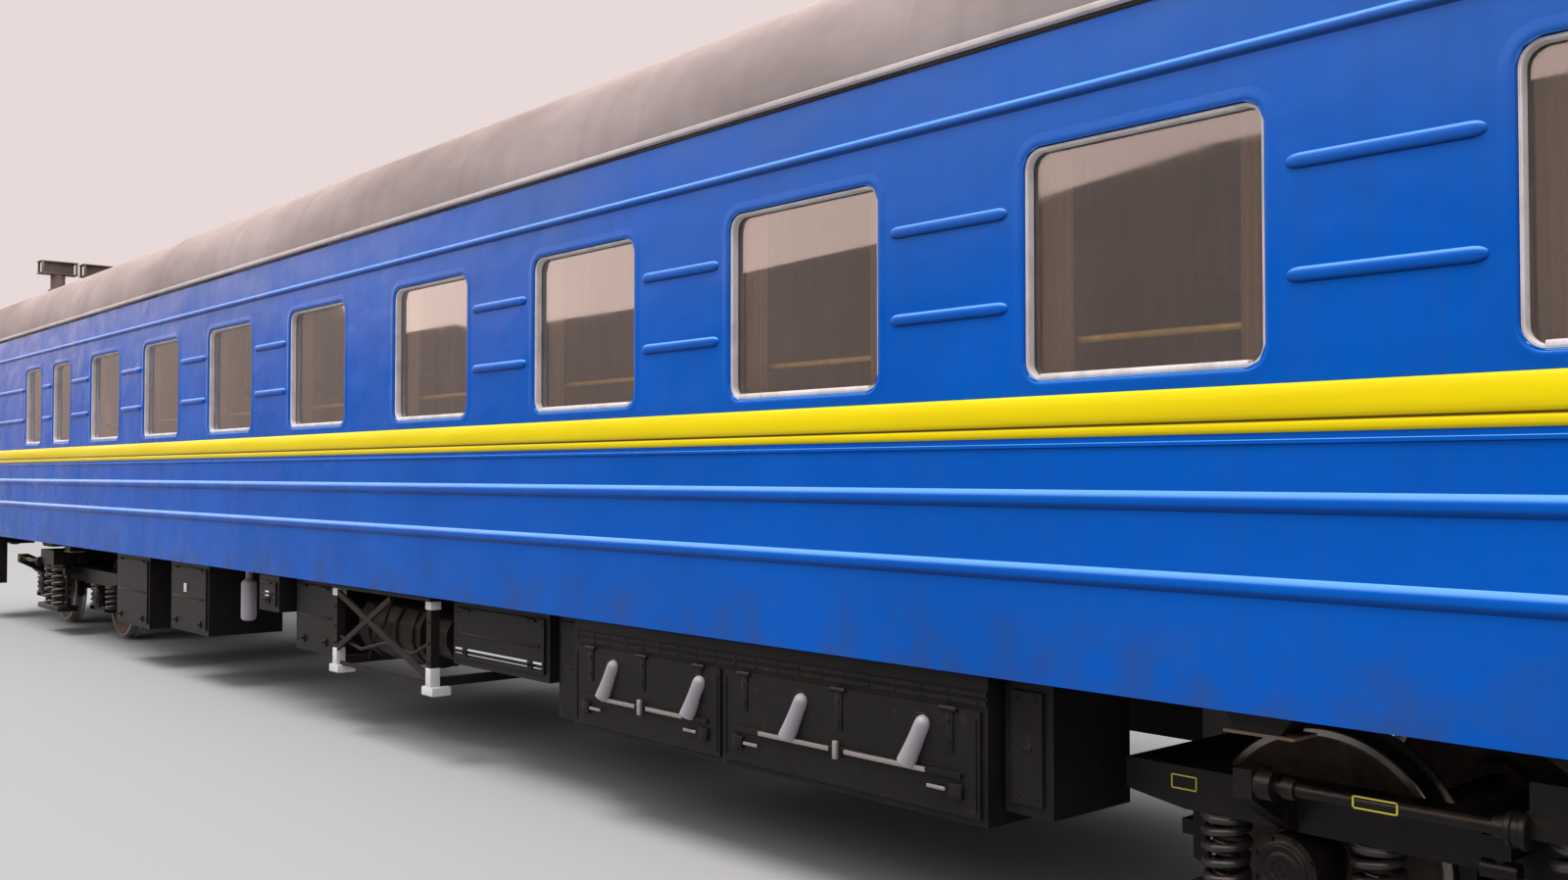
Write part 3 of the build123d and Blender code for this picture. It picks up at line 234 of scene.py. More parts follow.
sheet_effect, given, put = effect(
    "painted sheet",
    [
        ("Paint", "Color", (0, 0.09, 0.44, 1)),
        ("Bleached", "Color", (0.06, 0.15, 0.46, 1)),
        ("Grime", "Color", (0.03, 0.05, 0.10, 1)),
        ("Streaks", "Float", 0.10),
        ("Bleach From", "Float", 2.6),
        ("Bleach To", "Float", 3.7),
    ],
    [("Color", "Color"), ("Roughness", "Float"), ("Height", "Float")],
)
upward = height_along(sheet_effect, "Z")
high_up = sheet_effect.nodes.new("ShaderNodeMapRange")
feed(sheet_effect, high_up, {0: upward, 1: given.outputs["Bleach From"], 2: given.outputs["Bleach To"]})
cloudy = noise(sheet_effect, 1.1, 4.0)
patchy = maths(
    sheet_effect, "MULTIPLY", high_up.outputs[0], spread(sheet_effect, cloudy, 0.3, 0.7, 0.35, 1.0)
)
tone = tint(sheet_effect, patchy, given.outputs["Paint"], given.outputs["Bleached"])
tone = tint(sheet_effect, spread(sheet_effect, cloudy, 0.35, 0.65, 0.0, 0.16), tone, (0, 0.03, 0.16, 1))
runs = noise(sheet_effect, 9.0, 4.0, (1, 1, 0.07))
run_mask = maths(sheet_effect, "MULTIPLY", spread(sheet_effect, runs, 0.52, 0.72), given.outputs["Streaks"])
tone = tint(sheet_effect, run_mask, tone, given.outputs["Grime"])
splash = maths(
    sheet_effect,
    "MULTIPLY",
    spread(sheet_effect, upward, 1.45, 1.08, 0.0, 0.55),
    spread(sheet_effect, noise(sheet_effect, 5.0, 6.0), 0.42, 0.7),
)
tone = tint(sheet_effect, splash, tone, (0.045, 0.05, 0.07, 1))
lie = facing_up(sheet_effect)
# Painted highlight: faces below the eave that look up are tinted a lighter blue.
painted_highlight_mask = maths(
    sheet_effect,
    "MULTIPLY",
    spread(sheet_effect, lie, 0.32, 0.70, 0.0, 0.88),
    spread(sheet_effect, upward, 3.50, 3.44),
)
tone = tint(sheet_effect, painted_highlight_mask, tone, (0.15, 0.43, 0.88, 1))
# Painted shade: faces that look down are tinted a darker blue.
tone = tint(sheet_effect, spread(sheet_effect, lie, -0.30, -0.80, 0.0, 0.80), tone, (0, 0.018, 0.10, 1))
gloss = spread(sheet_effect, noise(sheet_effect, 3.0, 5.0), 0.3, 0.7, 0.24, 0.40)
gloss = maths(sheet_effect, "ADD", gloss, maths(sheet_effect, "MULTIPLY", run_mask, 0.5))
dents = noise(sheet_effect, 1.6, 2.0, (1, 1, 1.4))
ripples = noise(sheet_effect, 5.5, 2.0)
peel = noise(sheet_effect, 240.0, 1.0)
waves = maths(sheet_effect, "ADD", dents, maths(sheet_effect, "MULTIPLY", ripples, 0.16))
waves = maths(sheet_effect, "ADD", waves, maths(sheet_effect, "MULTIPLY", peel, 0.0012))
feed(sheet_effect, put, {"Color": tone, "Roughness": gloss, "Height": waves})


def finish(name, group=None, settings=(), relief=0.0, **sockets):
    """A material: the Principled shader with its own values, and a group that feeds it."""
    paint = bpy.data.materials.new(name)
    paint.use_nodes = True
    tree = paint.node_tree
    shader = tree.nodes["Principled BSDF"]
    for label, value in sockets.items():
        shader.inputs[label.replace("_", " ")].default_value = value
    if group:
        node = tree.nodes.new("ShaderNodeGroup")
        node.node_tree = group
        for label, value in dict(settings).items():
            node.inputs[label].default_value = value
        for output in node.outputs:
            if output.name == "Color":
                tree.links.new(output, shader.inputs["Base Color"])
            elif output.name == "Height":
                bump = tree.nodes.new("ShaderNodeBump")
                bump.inputs["Distance"].default_value = relief
                tree.links.new(output, bump.inputs["Height"])
                tree.links.new(bump.outputs[0], shader.inputs["Normal"])
            else:
                tree.links.new(output, shader.inputs[output.name])
    return paint


def dress(material, *nodes):
    """Gives CAD nodes their finish."""
    for name in nodes:
        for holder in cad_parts[name].material_slots:
            holder.material = material


coach_blue = finish(
    "coach blue",
    sheet_effect,
    {"Paint": (0.0, 0.098, 0.50, 1)},
    relief=0.016,
    Specular_IOR_Level=0.08,
    Coat_Weight=0.03,
    Coat_Roughness=0.10,
)
dress(
    coach_blue,
    "side_wall_corridor",
    "side_wall_compartment",
    "cantrails",
    "end_walls",
    "door_left_corridor_leaf",
    "door_right_corridor_leaf",
    "door_left_compartment_leaf",
    "door_right_compartment_leaf",
    "end_door_left_leaf",
    "end_door_right_leaf",
)

# Window surrounds: the side sheet is pressed in round each opening, so a soft flange runs round
# the glass. The corridor side and the compartment side each have their own row of windows.
window_low = 2.258
window_high = 3.156
window_pitch = 1.795
wide_places = [-5.595 + window_pitch * n for n in range(9)]
wide_windows = [(x, 1.01) for x in wide_places]
# Columns: middle along the coach, width
corridor_windows = [(-8.495, 0.72), (-7.254, 0.72)] + wide_windows + [(10.16, 0.52)]
compartment_windows = [(-10.06, 0.52), (-7.40, 0.72)] + wide_windows + [(10.16, 0.52)]
wall_face = 1.5305


def piece(name, bm, material, body="coach_body", sharp=32):
    """Makes a bmesh into a piece that rides on a body, smooth but for its sharp edges."""
    bmesh.ops.recalc_face_normals(bm, faces=bm.faces)
    for face in bm.faces:
        face.smooth = True
    for edge in bm.edges:
        edge.smooth = not edge.is_manifold or edge.calc_face_angle(0) < math.radians(sharp)
    data = bpy.data.meshes.new(name)
    bm.to_mesh(data)
    bm.free()
    data.materials.append(material)
    made = bpy.data.objects.new(name, data)
    scene.collection.objects.link(made)
    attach(made, body)
    return made


def skin(bm, rings, closed=True, capped=False):
    """Joins rings of points by faces, all round or as an open strip, with flat ends if capped."""
    for near, far in zip(rings, rings[1:]):
        for n in range(len(near) - (0 if closed else 1)):
            m = (n + 1) % len(near)
            bm.faces.new((near[n], near[m], far[m], far[n]))
    if capped:
        bm.faces.new(rings[0])
        bm.faces.new(rings[-1])


def rounded_loop(width, height, corner, steps=7):
    """Points of a round-cornered rectangle, each with its outward direction."""
    loop = []
    for quarter, (sx, sz) in enumerate(((1, 1), (-1, 1), (-1, -1), (1, -1))):
        for step in range(steps + 1):
            angle = math.radians(90 * (quarter + step / steps))
            nx, nz = math.cos(angle), math.sin(angle)
            x = sx * (width / 2 - corner) + corner * nx
            z = sz * (height / 2 - corner) + corner * nz
            loop.append((x, z, nx, nz))
    return loop


def moulding(bm, loop, profile, place):
    """Runs a section of (outward, proud) points round a loop; place turns (x, proud, z) into the coach."""
    rings = []
    for outward, proud in profile:
        rings.append(
            [bm.verts.new(place(x + nx * outward, proud, z + nz * outward)) for x, z, nx, nz in loop]
        )
    skin(bm, rings)


def on_wall(middle, side):
    """Places the (x, proud, z) of a window's mouldings on a side wall."""
    return lambda x, proud, z: (x + middle, side * (wall_face + proud), z + window_middle)


window_height = window_high - window_low
window_middle = (window_high + window_low) / 2
window_corner = 0.078
# Columns: outward from the opening's edge, proud of the wall
surround_section = [
    (0.0535, -0.0008), (0.048, 0.0001), (0.041, 0.0008), (0.033, 0.0017), (0.025, 0.0026), (0.018, 0.0032),
    (0.013, 0.0032), (0.009, 0.0024), (0.005, 0.0010), (0.002, -0.0008), (-0.001, -0.005), (-0.0035, -0.012),
    (-0.0045, -0.040),
]
walls = [("corridor", -1, corridor_windows), ("compartment", 1, compartment_windows)]
for name, side, windows in walls:
    bm = bmesh.new()
    for middle, width in windows:
        moulding(
            bm, rounded_loop(width, window_height, window_corner), surround_section, on_wall(middle, side)
        )
    made = piece(f"window_surrounds_{name}", bm, coach_blue, sharp=50)

# Window seals: pale rubber strips, locked into the opening by a filler cord, weathered and a
# little grey, with dirt along the groove.
rubber_effect, given, put = effect(
    "weathered rubber",
    [
        ("Rubber", "Color", (0.66, 0.61, 0.61, 1)),
        ("Dirt", "Color", (0.16, 0.13, 0.11, 1)),
        ("Dirt Amount", "Float", 0.5),
        ("Grain", "Float", 60.0),
    ],
    [("Color", "Color"), ("Roughness", "Float"), ("Height", "Float")],
)
smudge = noise(rubber_effect, 9.0, 6.0, (1, 1, 0.5), 0.65)
smudge_mask = maths(
    rubber_effect, "MULTIPLY", spread(rubber_effect, smudge, 0.42, 0.74), given.outputs["Dirt Amount"]
)
tone = tint(rubber_effect, smudge_mask, given.outputs["Rubber"], given.outputs["Dirt"])
grain = rubber_effect.nodes.new("ShaderNodeTexNoise")
feed(rubber_effect, grain, {"Scale": given.outputs["Grain"], "Detail": 3.0})
feed(
    rubber_effect,
    put,
    {
        "Color": tone,
        "Roughness": spread(rubber_effect, grain.outputs["Fac"], 0.2, 0.8, 0.5, 0.75),
        "Height": grain.outputs["Fac"],
    },
)
seal_rubber = finish("seal rubber", rubber_effect, relief=0.0006)
seal_section = [
    (-0.0040, -0.044), (-0.0040, -0.014), (-0.0052, -0.0095), (-0.0074, -0.0085), (-0.0090, -0.0095),
    (-0.0096, -0.0115), (-0.0104, -0.0115), (-0.0112, -0.0100), (-0.0136, -0.0100), (-0.0160, -0.0135),
    (-0.0172, -0.020), (-0.0176, -0.0455), (-0.0040, -0.044),
]
# A wider lip lies along the foot of each pane and throws the rain off.
# Columns: proud of the wall, height above the opening's foot
lip = [
    (-0.018, 0.003), (-0.0095, 0.006), (-0.0072, 0.012), (-0.0085, 0.022), (-0.014, 0.030), (-0.040, 0.033),
    (-0.040, 0.003),
]
for name, side, windows in walls:
    bm = bmesh.new()
    for middle, width in windows:
        moulding(bm, rounded_loop(width, window_height, window_corner), seal_section, on_wall(middle, side))
    bmesh.ops.remove_doubles(bm, verts=bm.verts, dist=1e-6)
    for middle, width in windows:
        reach = width / 2 - 0.070
        rings = []
        for x, shrink in ((-reach, 0.9), (-reach + 0.012, 1.0), (reach - 0.012, 1.0), (reach, 0.9)):
            rings.append(
                [
                    bm.verts.new((middle + x, side * (wall_face + depth / shrink), window_low + z))
                    for depth, z in lip
                ]
            )
        skin(bm, rings, capped=True)
    made = piece(f"window_seals_{name}", bm, seal_rubber, sharp=60)

# Window panes: toughened double glazing with a faint brown tint, dusty towards its lower edge.
pane_effect, given, put = effect(
    "dusty pane",
    [
        ("Tint", "Color", (0.82, 0.74, 0.69, 1)),
        ("Dust", "Color", (0.42, 0.36, 0.31, 1)),
        ("Dust Amount", "Float", 0.35),
    ],
    [("Color", "Color"), ("Roughness", "Float")],
)
film = noise(pane_effect, 2.2, 6.0, (1, 1, 0.35), 0.6)
film_mask = maths(
    pane_effect, "MULTIPLY", spread(pane_effect, film, 0.40, 0.75), given.outputs["Dust Amount"]
)
feed(
    pane_effect,
    put,
    {
        "Color": tint(pane_effect, film_mask, given.outputs["Tint"], given.outputs["Dust"]),
        "Roughness": spread(pane_effect, film, 0.4, 0.8, 0.01, 0.09),
    },
)
pane_glass = finish(
    "window pane",
    pane_effect,
    Transmission_Weight=1.0,
    IOR=1.8,
    Metallic=0.0,
    Coat_Weight=1.0,
    Coat_Roughness=0.03,
)
dress(
    pane_glass,
    "window_glass_corridor",
    "window_glass_compartment",
    "door_left_corridor_glass",
    "door_right_corridor_glass",
    "door_left_compartment_glass",
    "door_right_compartment_glass",
    "end_door_left_glass",
    "end_door_right_glass",
)

# Pressed ridges and ribs: beads rolled into the side sheets to stiffen them. Long ones run the
# length of the coach; short ones with pointed ends stand in pairs on the piers.
pier_edge = 10.79
body_end = 11.70
pier_without_ribs = 0.6875
rib_heights = [2.551, 2.921]
# Columns: start X, end X, height, breadth and depth against the long ridges below
long_ridges = [(-pier_edge, pier_edge, 1.533, 1.0, 1.0), (-pier_edge, pier_edge, 1.813, 1.0, 1.0)]
long_ridges.append((-body_end, body_end, 3.334, 0.66, 0.86))
# Columns: up from the ridge's middle, proud of the wall
bead = [
    (-0.0370, -0.0010), (-0.0310, 0.0050), (-0.0220, 0.0126), (-0.0140, 0.0178), (-0.0070, 0.0194),
    (0, 0.0199), (0.0070, 0.0194), (0.0140, 0.0178), (0.0220, 0.0126), (0.0310, 0.0050), (0.0370, -0.0010),
]
# Columns: distance from the rib's end, size of the section there
tips = [(0.0, 0.05), (0.002, 0.28), (0.006, 0.48), (0.012, 0.66), (0.020, 0.81), (0.030, 0.93), (0.049, 1.0)]
bm = bmesh.new()
for _, side, windows in walls:
    for start, end, height, wide, tall in long_ridges:
        rings = []
        for n in range(49):
            x = start + (end - start) * n / 48
            rings.append(
                [
                    bm.verts.new((x, side * (wall_face + proud * tall), height + up * wide))
                    for up, proud in bead
                ]
            )
        skin(bm, rings, capped=True)
    edges = sorted((x - width / 2, x + width / 2) for x, width in windows)
    edges = [(-pier_edge, -pier_edge)] + edges + [(pier_edge, pier_edge)]
    for (_, start), (end, _) in zip(edges, edges[1:]):
        middle, half = (start + end) / 2, (end - start) / 2 - 0.098
        if half <= 0.1 or (side < 0 and abs(middle - pier_without_ribs) < 0.01):
            continue
        for height in rib_heights:
            rings = []
            reach = half + 0.023
            stations = [(-reach + x, size) for x, size in tips]
            stations += [(reach - x, size) for x, size in reversed(tips)]
            for x, size in stations:
                ring = []
                for k in range(13):
                    angle = math.pi * k / 12
                    up, proud = 0.0262 * size * math.cos(angle), 0.0174 * size * math.sin(angle) - 0.0006
                    ring.append(bm.verts.new((middle + x, side * (wall_face + proud), height + up)))
                rings.append(ring)
            skin(bm, rings, capped=True)
ridges = piece("pressed_ridges", bm, coach_blue, sharp=70)

# Waist belt: a yellow steel pressing along both sides, a broad crown with a groove below it and
# a narrow bead under the groove. It is welded to the wall and stops at the side doors.
belt_effect, given, put = effect(
    "belt paint",
    [
        ("Paint", "Color", (0.87, 0.67, 0.003, 1)),
        ("Shade", "Color", (0.60, 0.40, 0.002, 1)),
        ("Shade Amount", "Float", 0.5),
    ],
    [("Color", "Color"), ("Roughness", "Float"), ("Height", "Float")],
)
brushed_on = noise(belt_effect, 3.0, 5.0, (0.25, 1, 2.5))
worn = maths(
    belt_effect, "MULTIPLY", spread(belt_effect, brushed_on, 0.42, 0.72), given.outputs["Shade Amount"]
)
tone = tint(belt_effect, worn, given.outputs["Paint"], given.outputs["Shade"])
lie = facing_up(belt_effect)
# Painted shade: faces of the belt that look down are tinted a darker brown-yellow.
tone = tint(belt_effect, spread(belt_effect, lie, -0.25, -0.75, 0.0, 0.55), tone, (0.30, 0.17, 0.002, 1))
# Painted shade in the groove: a narrow dark brown band along its line.
from_groove = maths(
    belt_effect, "ABSOLUTE", maths(belt_effect, "SUBTRACT", height_along(belt_effect, "Z"), 2.0835), 0.0
)
tone = tint(
    belt_effect, spread(belt_effect, from_groove, 0.0025, 0.0075, 0.92, 0.0), tone, (0.075, 0.035, 0.004, 1)
)
feed(
    belt_effect,
    put,
    {
        "Color": tone,
        "Roughness": spread(belt_effect, brushed_on, 0.3, 0.7, 0.28, 0.46),
        "Height": noise(belt_effect, 2.6, 3.0),
    },
)
belt_yellow = finish(
    "belt yellow",
    belt_effect,
    {"Shade Amount": 0.35},
    relief=0.004,
    Specular_IOR_Level=0.08,
    Coat_Weight=0.03,
    Coat_Roughness=0.12,
)
# Columns: proud of the wall, height
belt_section = [
    (-0.002, 2.204), (0.004, 2.203), (0.010, 2.197), (0.0145, 2.188), (0.018, 2.175), (0.0205, 2.158),
    (0.0215, 2.140), (0.021, 2.122), (0.0185, 2.104), (0.014, 2.092), (0.009, 2.086), (0.0065, 2.0835),
    (0.0065, 2.081), (0.010, 2.079), (0.0125, 2.074), (0.0130, 2.066), (0.0115, 2.056), (0.008, 2.048),
    (0.003, 2.0435), (-0.002, 2.043),
]
belt_runs = [(-body_end, -11.51), (-pier_edge, pier_edge), (11.51, body_end)]
bm = bmesh.new()
for side in (-1, 1):
    for start, end in belt_runs:
        steps = max(1, round((end - start) / 0.9))
        rings = []
        for n in range(steps + 1):
            x = start + (end - start) * n / steps
            rings.append([bm.verts.new((x, side * (wall_face + proud), z)) for proud, z in belt_section])
        skin(bm, rings, capped=True)
belts = piece("waist_belt_pressing", bm, belt_yellow)
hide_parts("waist_belts")

# Roof: thin steel sheets welded over hoops, painted grey and dulled by soot. Each welded joint
# between two sheets stands a little proud, and the sheets are not quite flat.
roof_effect, given, put = effect(
    "sooty roof",
    [
        ("Paint", "Color", (0.38, 0.315, 0.31, 1)),
        ("Soot", "Color", (0.15, 0.115, 0.105, 1)),
        ("Soot Amount", "Float", 0.7),
    ],
    [("Color", "Color"), ("Roughness", "Float"), ("Height", "Float")],
)
smoke = noise(roof_effect, 0.8, 7.0, (0.5, 1, 1), 0.62)
washed = noise(roof_effect, 7.0, 4.0, (1, 0.12, 0.12))
smoke_mask = maths(
    roof_effect, "MULTIPLY", spread(roof_effect, smoke, 0.35, 0.7), given.outputs["Soot Amount"]
)
tone = tint(roof_effect, smoke_mask, given.outputs["Paint"], given.outputs["Soot"])
tone = tint(roof_effect, spread(roof_effect, washed, 0.5, 0.75, 0.0, 0.35), tone, (0.20, 0.17, 0.15, 1))
feed(
    roof_effect,
    put,
    {
        "Color": tone,
        "Roughness": spread(roof_effect, smoke, 0.3, 0.7, 0.5, 0.75),
        "Height": maths(
            roof_effect,
            "ADD",
            noise(roof_effect, 1.4, 2.0),
            maths(roof_effect, "MULTIPLY", noise(roof_effect, 60.0, 2.0), 0.01),
        ),
    },
)
roof_grey = finish("roof grey", roof_effect, relief=0.012, Specular_IOR_Level=0.08)
shoulder_radius = 0.62
shoulder_height = 3.65
roof_crown = 4.40
shoulder_y = wall_face - shoulder_radius
rise = roof_crown - shoulder_height
crown_radius = (shoulder_y ** 2 + rise ** 2 - shoulder_radius ** 2) / (2 * (rise - shoulder_radius))
crown_centre = roof_crown - crown_radius
sweep = math.atan2(shoulder_height - crown_centre, shoulder_y)


def roof_line(depth, foot=3.633, round_steps=10, flat_steps=22):
    """(y, z) points of the roof from eave to eave, pushed in by depth."""
    points = [(wall_face - depth, foot)]
    for n in range(round_steps):
        angle = sweep * n / round_steps
        radius = shoulder_radius - depth
        points.append((shoulder_y + radius * math.cos(angle), shoulder_height + radius * math.sin(angle)))
    for n in range(flat_steps // 2):
        angle = sweep + (math.pi / 2 - sweep) * 2 * n / flat_steps
        radius = crown_radius - depth
        points.append((radius * math.cos(angle), crown_centre + radius * math.sin(angle)))
    return points + [(0, roof_crown - depth)] + [(-y, z) for y, z in reversed(points)]


seam_pitch = 1.95
sheet_depth = 0.0016
bm = bmesh.new()
# Columns: distance from a seam, depth below the roof's line, so each welded joint stands 1.6 mm up
seam_section = [
    (-0.035, sheet_depth), (-0.012, 0.0013), (-0.006, 0.0), (0.006, 0.0), (0.012, 0.0013),
    (0.035, sheet_depth),
]
stations = [(-body_end, sheet_depth)]
seam = -body_end + seam_pitch
while seam < body_end - 0.2:
    stations += [(seam + x, depth) for x, depth in seam_section]
    seam += seam_pitch
stations.append((body_end, sheet_depth))
rings = [[bm.verts.new((x, y, z)) for y, z in roof_line(depth)] for x, depth in stations]
inner = [[bm.verts.new((x, y, z)) for y, z in roof_line(0.09)] for x, _ in (stations[0], stations[-1])]
for strip in (rings, inner, (rings[0], inner[0]), (rings[-1], inner[1])):
    skin(bm, strip, closed=False)
for edge in (0, -1):
    bm.faces.new([ring[edge] for ring in rings] + [inner[1][edge], inner[0][edge]])
roof_sheets = piece("roof_sheets", bm, roof_grey, sharp=20)
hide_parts("roof")

# Underframe: rolled steel bars and pressings, primed and painted near-black, dusted brown by the
# track. It keeps its CAD shape; the same dusty paint covers steps, boxes and bogies.
dusty_effect, given, put = effect(
    "dusty steel",
    [
        ("Paint", "Color", (0.010, 0.008, 0.008, 1)),
        ("Dust", "Color", (0.062, 0.044, 0.034, 1)),
        ("Rust", "Color", (0.11, 0.045, 0.022, 1)),
        ("Dust Amount", "Float", 0.36),
        ("Rust Amount", "Float", 0.25),
        ("Shine", "Float", 0.50),
    ],
    [("Color", "Color"), ("Roughness", "Float"), ("Height", "Float")],
)
settled = spread(dusty_effect, facing_up(dusty_effect), -0.2, 0.9, 0.25, 1.0)
blown = spread(dusty_effect, noise(dusty_effect, 4.5, 7.0, (1, 1, 0.6), 0.65), 0.36, 0.72)
dust_mask = maths(
    dusty_effect, "MULTIPLY", maths(dusty_effect, "MULTIPLY", settled, blown), given.outputs["Dust Amount"]
)
rusting = spread(dusty_effect, noise(dusty_effect, 14.0, 7.0, (1, 1, 1), 0.7), 0.58, 0.72)
rust_mask = maths(dusty_effect, "MULTIPLY", rusting, given.outputs["Rust Amount"])
tone = tint(dusty_effect, rust_mask, given.outputs["Paint"], given.outputs["Rust"])
tone = tint(dusty_effect, dust_mask, tone, given.outputs["Dust"])
dull = maths(dusty_effect, "MULTIPLY", dust_mask, 0.4)
feed(
    dusty_effect,
    put,
    {
        "Color": tone,
        "Roughness": maths(
            dusty_effect, "ADD", maths(dusty_effect, "ADD", given.outputs["Shine"], dull), rust_mask
        ),
        "Height": maths(
            dusty_effect,
            "ADD",
            noise(dusty_effect, 30.0, 4.0),
            maths(dusty_effect, "MULTIPLY", rust_mask, 0.8),
        ),
    },
)
frame_black = finish("frame black", dusty_effect, relief=0.0015, Specular_IOR_Level=0.14)
dress(frame_black, "underframe", "door_steps", "gear_hanger")

# Battery box: pressed steel with two drop-down doors. Strap hinges, toggle latches on a long bar
# and two rows of screws are added to the CAD box; the vent pipes are light grey, open at the mouth.
box_brown = finish(
    "box brown",
    dusty_effect,
    {"Paint": (0.008, 0.0075, 0.008, 1), "Dust": (0.036, 0.030, 0.029, 1), "Shine": 0.42},
    relief=0.0012,
    Specular_IOR_Level=0.12,
)
dress(box_brown, "battery_box", "equipment_boxes")
pipe_grey = finish(
    "pipe grey",
    dusty_effect,
    {
        "Paint": (0.30, 0.28, 0.31, 1),
        "Dust": (0.20, 0.17, 0.15, 1),
        "Dust Amount": 0.6,
        "Rust Amount": 0.12,
        "Shine": 0.45,
    },
    relief=0.001,
)
worn_edge = finish(
    "worn steel",
    dusty_effect,
    {"Paint": (0.30, 0.28, 0.27, 1), "Rust Amount": 0.35, "Shine": 0.40},
    relief=0.001,
    Metallic=0.5,
)
white_stencil = finish(
    "white marking",
    dusty_effect,
    {"Paint": (0.70, 0.70, 0.70, 1), "Dust Amount": 0.5, "Rust Amount": 0.08, "Shine": 0.5},
    relief=0.0005,
)
yellow_stencil = finish(
    "yellow marking",
    dusty_effect,
    {"Paint": (0.70, 0.60, 0.05, 1), "Dust Amount": 0.45, "Rust Amount": 0.05, "Shine": 0.5},
    relief=0.0005,
)


def slab(bm, low, high, soft=0.003, steps=2):
    """A piece between two corners with its edges rounded off."""
    lows = Vector([min(a, b) for a, b in zip(low, high)])
    highs = Vector([max(a, b) for a, b in zip(low, high)])
    made = bmesh.ops.create_cube(bm, size=1)["verts"]
    bmesh.ops.scale(bm, vec=highs - lows, verts=made)
    bmesh.ops.translate(bm, vec=(lows + highs) / 2, verts=made)
    edges = list({edge for vert in made for edge in vert.link_edges})
    bmesh.ops.bevel(
        bm,
        geom=edges,
        offset=min(soft, min(highs - lows) * 0.45),
        segments=steps,
        affect="EDGES",
        profile=0.5,
    )


def turned(bm, stations, centre, axis, sides=36):
    """Lathe work: rings at (offset, radius) along an axis. A radius of 0 closes an end."""
    axis = Vector(axis).normalized()
    across = axis.orthogonal().normalized()
    third = axis.cross(across)
    rings = []
    for offset, radius in stations:
        middle = Vector(centre) + axis * offset
        if radius < 1e-6:
            rings.append([bm.verts.new(middle)])
            continue
        rings.append(
            [
                bm.verts.new(middle + radius * (across * math.cos(angle) + third * math.sin(angle)))
                for angle in [2 * math.pi * n / sides for n in range(sides)]
            ]
        )
    for near, far in zip(rings, rings[1:]):
        for n in range(sides):
            m = (n + 1) % sides
            if len(near) == 1:
                bm.faces.new((near[0], far[m], far[n]))
            elif len(far) == 1:
                bm.faces.new((near[n], near[m], far[0]))
            else:
                bm.faces.new((near[n], near[m], far[m], far[n]))


def pin(bm, start, stop, radius, centre, axis, sides=36):
    """A plain round bar with flat ends, from start to stop along an axis."""
    turned(bm, [(start, 0), (start, radius), (stop, radius), (stop, 0)], centre, axis, sides)


def boss(bm, radius, shoulder, height, top_radius, centre, axis, sides=36):
    """A round foot: straight up to its shoulder, then drawn in to its flat top."""
    stations = [(0, 0), (0, radius), (shoulder, radius), (height, top_radius), (height, 0)]
    turned(bm, stations, centre, axis, sides)


def bent_rod(bm, path, radius, sides=10, closed=False, across=None):
    """A round bar that follows a path of points, with flat ends unless it is closed."""
    points = [Vector(p) for p in path]
    count = len(points)
    rings = []
    guide = None
    for n, point in enumerate(points):
        before = points[n - 1] if n or closed else point
        after = points[(n + 1) % count] if n + 1 < count or closed else point
        along = (after - before).normalized()
        if across:
            guide = Vector(across(point))
        elif guide is None:
            guide = along.orthogonal()
        guide = (guide - along * guide.dot(along)).normalized()
        third = along.cross(guide)
        rings.append(
            [
                bm.verts.new(point + radius * (guide * math.cos(angle) + third * math.sin(angle)))
                for angle in [2 * math.pi * k / sides for k in range(sides)]
            ]
        )
    skin(bm, rings + rings[:1] if closed else rings, capped=not closed)


def bolt(bm, centre, axis, size=0.011, height=0.008):
    """A hexagon head on its washer."""
    pin(bm, 0, 0.002, size * 1.35, centre, axis, 16)
    turned(
        bm,
        [(0.002, 0), (0.002, size), (height - 0.001, size), (height, size * 0.86), (height, 0)],
        centre,
        axis,
        6,
    )


battery_face = -1.4755
bm = bmesh.new()
battery_doors = [(3.273, 4.555), (4.585, 6.205)]
vent_places = [3.64, 4.39, 5.14, 5.89]
for start, end in battery_doors:
    for x in (start + 0.16, (start + end) / 2, end - 0.16):
        slab(bm, (x - 0.022, battery_face - 0.020, 0.952), (x + 0.022, battery_face - 0.013, 0.78), 0.002)
        pin(bm, -0.045, 0.045, 0.011, (x, battery_face - 0.020, 0.957), (1, 0, 0), 14)
        for z in (0.91, 0.82):
            bolt(bm, (x, battery_face - 0.020, z), (0, -1, 0), 0.007, 0.006)
    for x in (start + 0.12, end - 0.12):
        slab(bm, (x - 0.035, battery_face - 0.030, 0.60), (x + 0.035, battery_face - 0.014, 0.66), 0.004)
    for x in (start + 0.02, end - 0.02):
        bent_rod(bm, [(x, battery_face - 0.016, z) for z in (0.555, 0.93)], 0.004, 8)
for x in vent_places:
    boss(bm, 0.060, 0.006, 0.008, 0.057, (x - 0.005, battery_face - 0.008, 0.862), (0, -1, 0), 28)
for height in (1.03, 0.995):
    for n in range(20):
        x = 3.30 + n * 0.152
        bolt(bm, (x, battery_face - 0.0095, height), (0, -1, 0), 0.005, 0.005)
hinges = piece("battery_box_hinges", bm, box_brown)

bm = bmesh.new()
for start, end in battery_doors:
    middle = (start + end) / 2
    for near, far in ((start + 0.28, middle - 0.05), (middle + 0.05, end - 0.28)):
        slab(bm, (near, battery_face - 0.036, 0.683), (far, battery_face - 0.027, 0.703), 0.002)
    slab(
        bm,
        (middle - 0.014, battery_face - 0.046, 0.655),
        (middle + 0.014, battery_face - 0.027, 0.735),
        0.004,
    )
    for x in (start + 0.22, end - 0.22):
        slab(bm, (x - 0.05, battery_face - 0.035, 0.625), (x + 0.05, battery_face - 0.027, 0.640), 0.002)
latches = piece("battery_box_latches", bm, worn_edge)

vent_slope = Vector((-0.084, -0.012, -0.172))
length = vent_slope.length
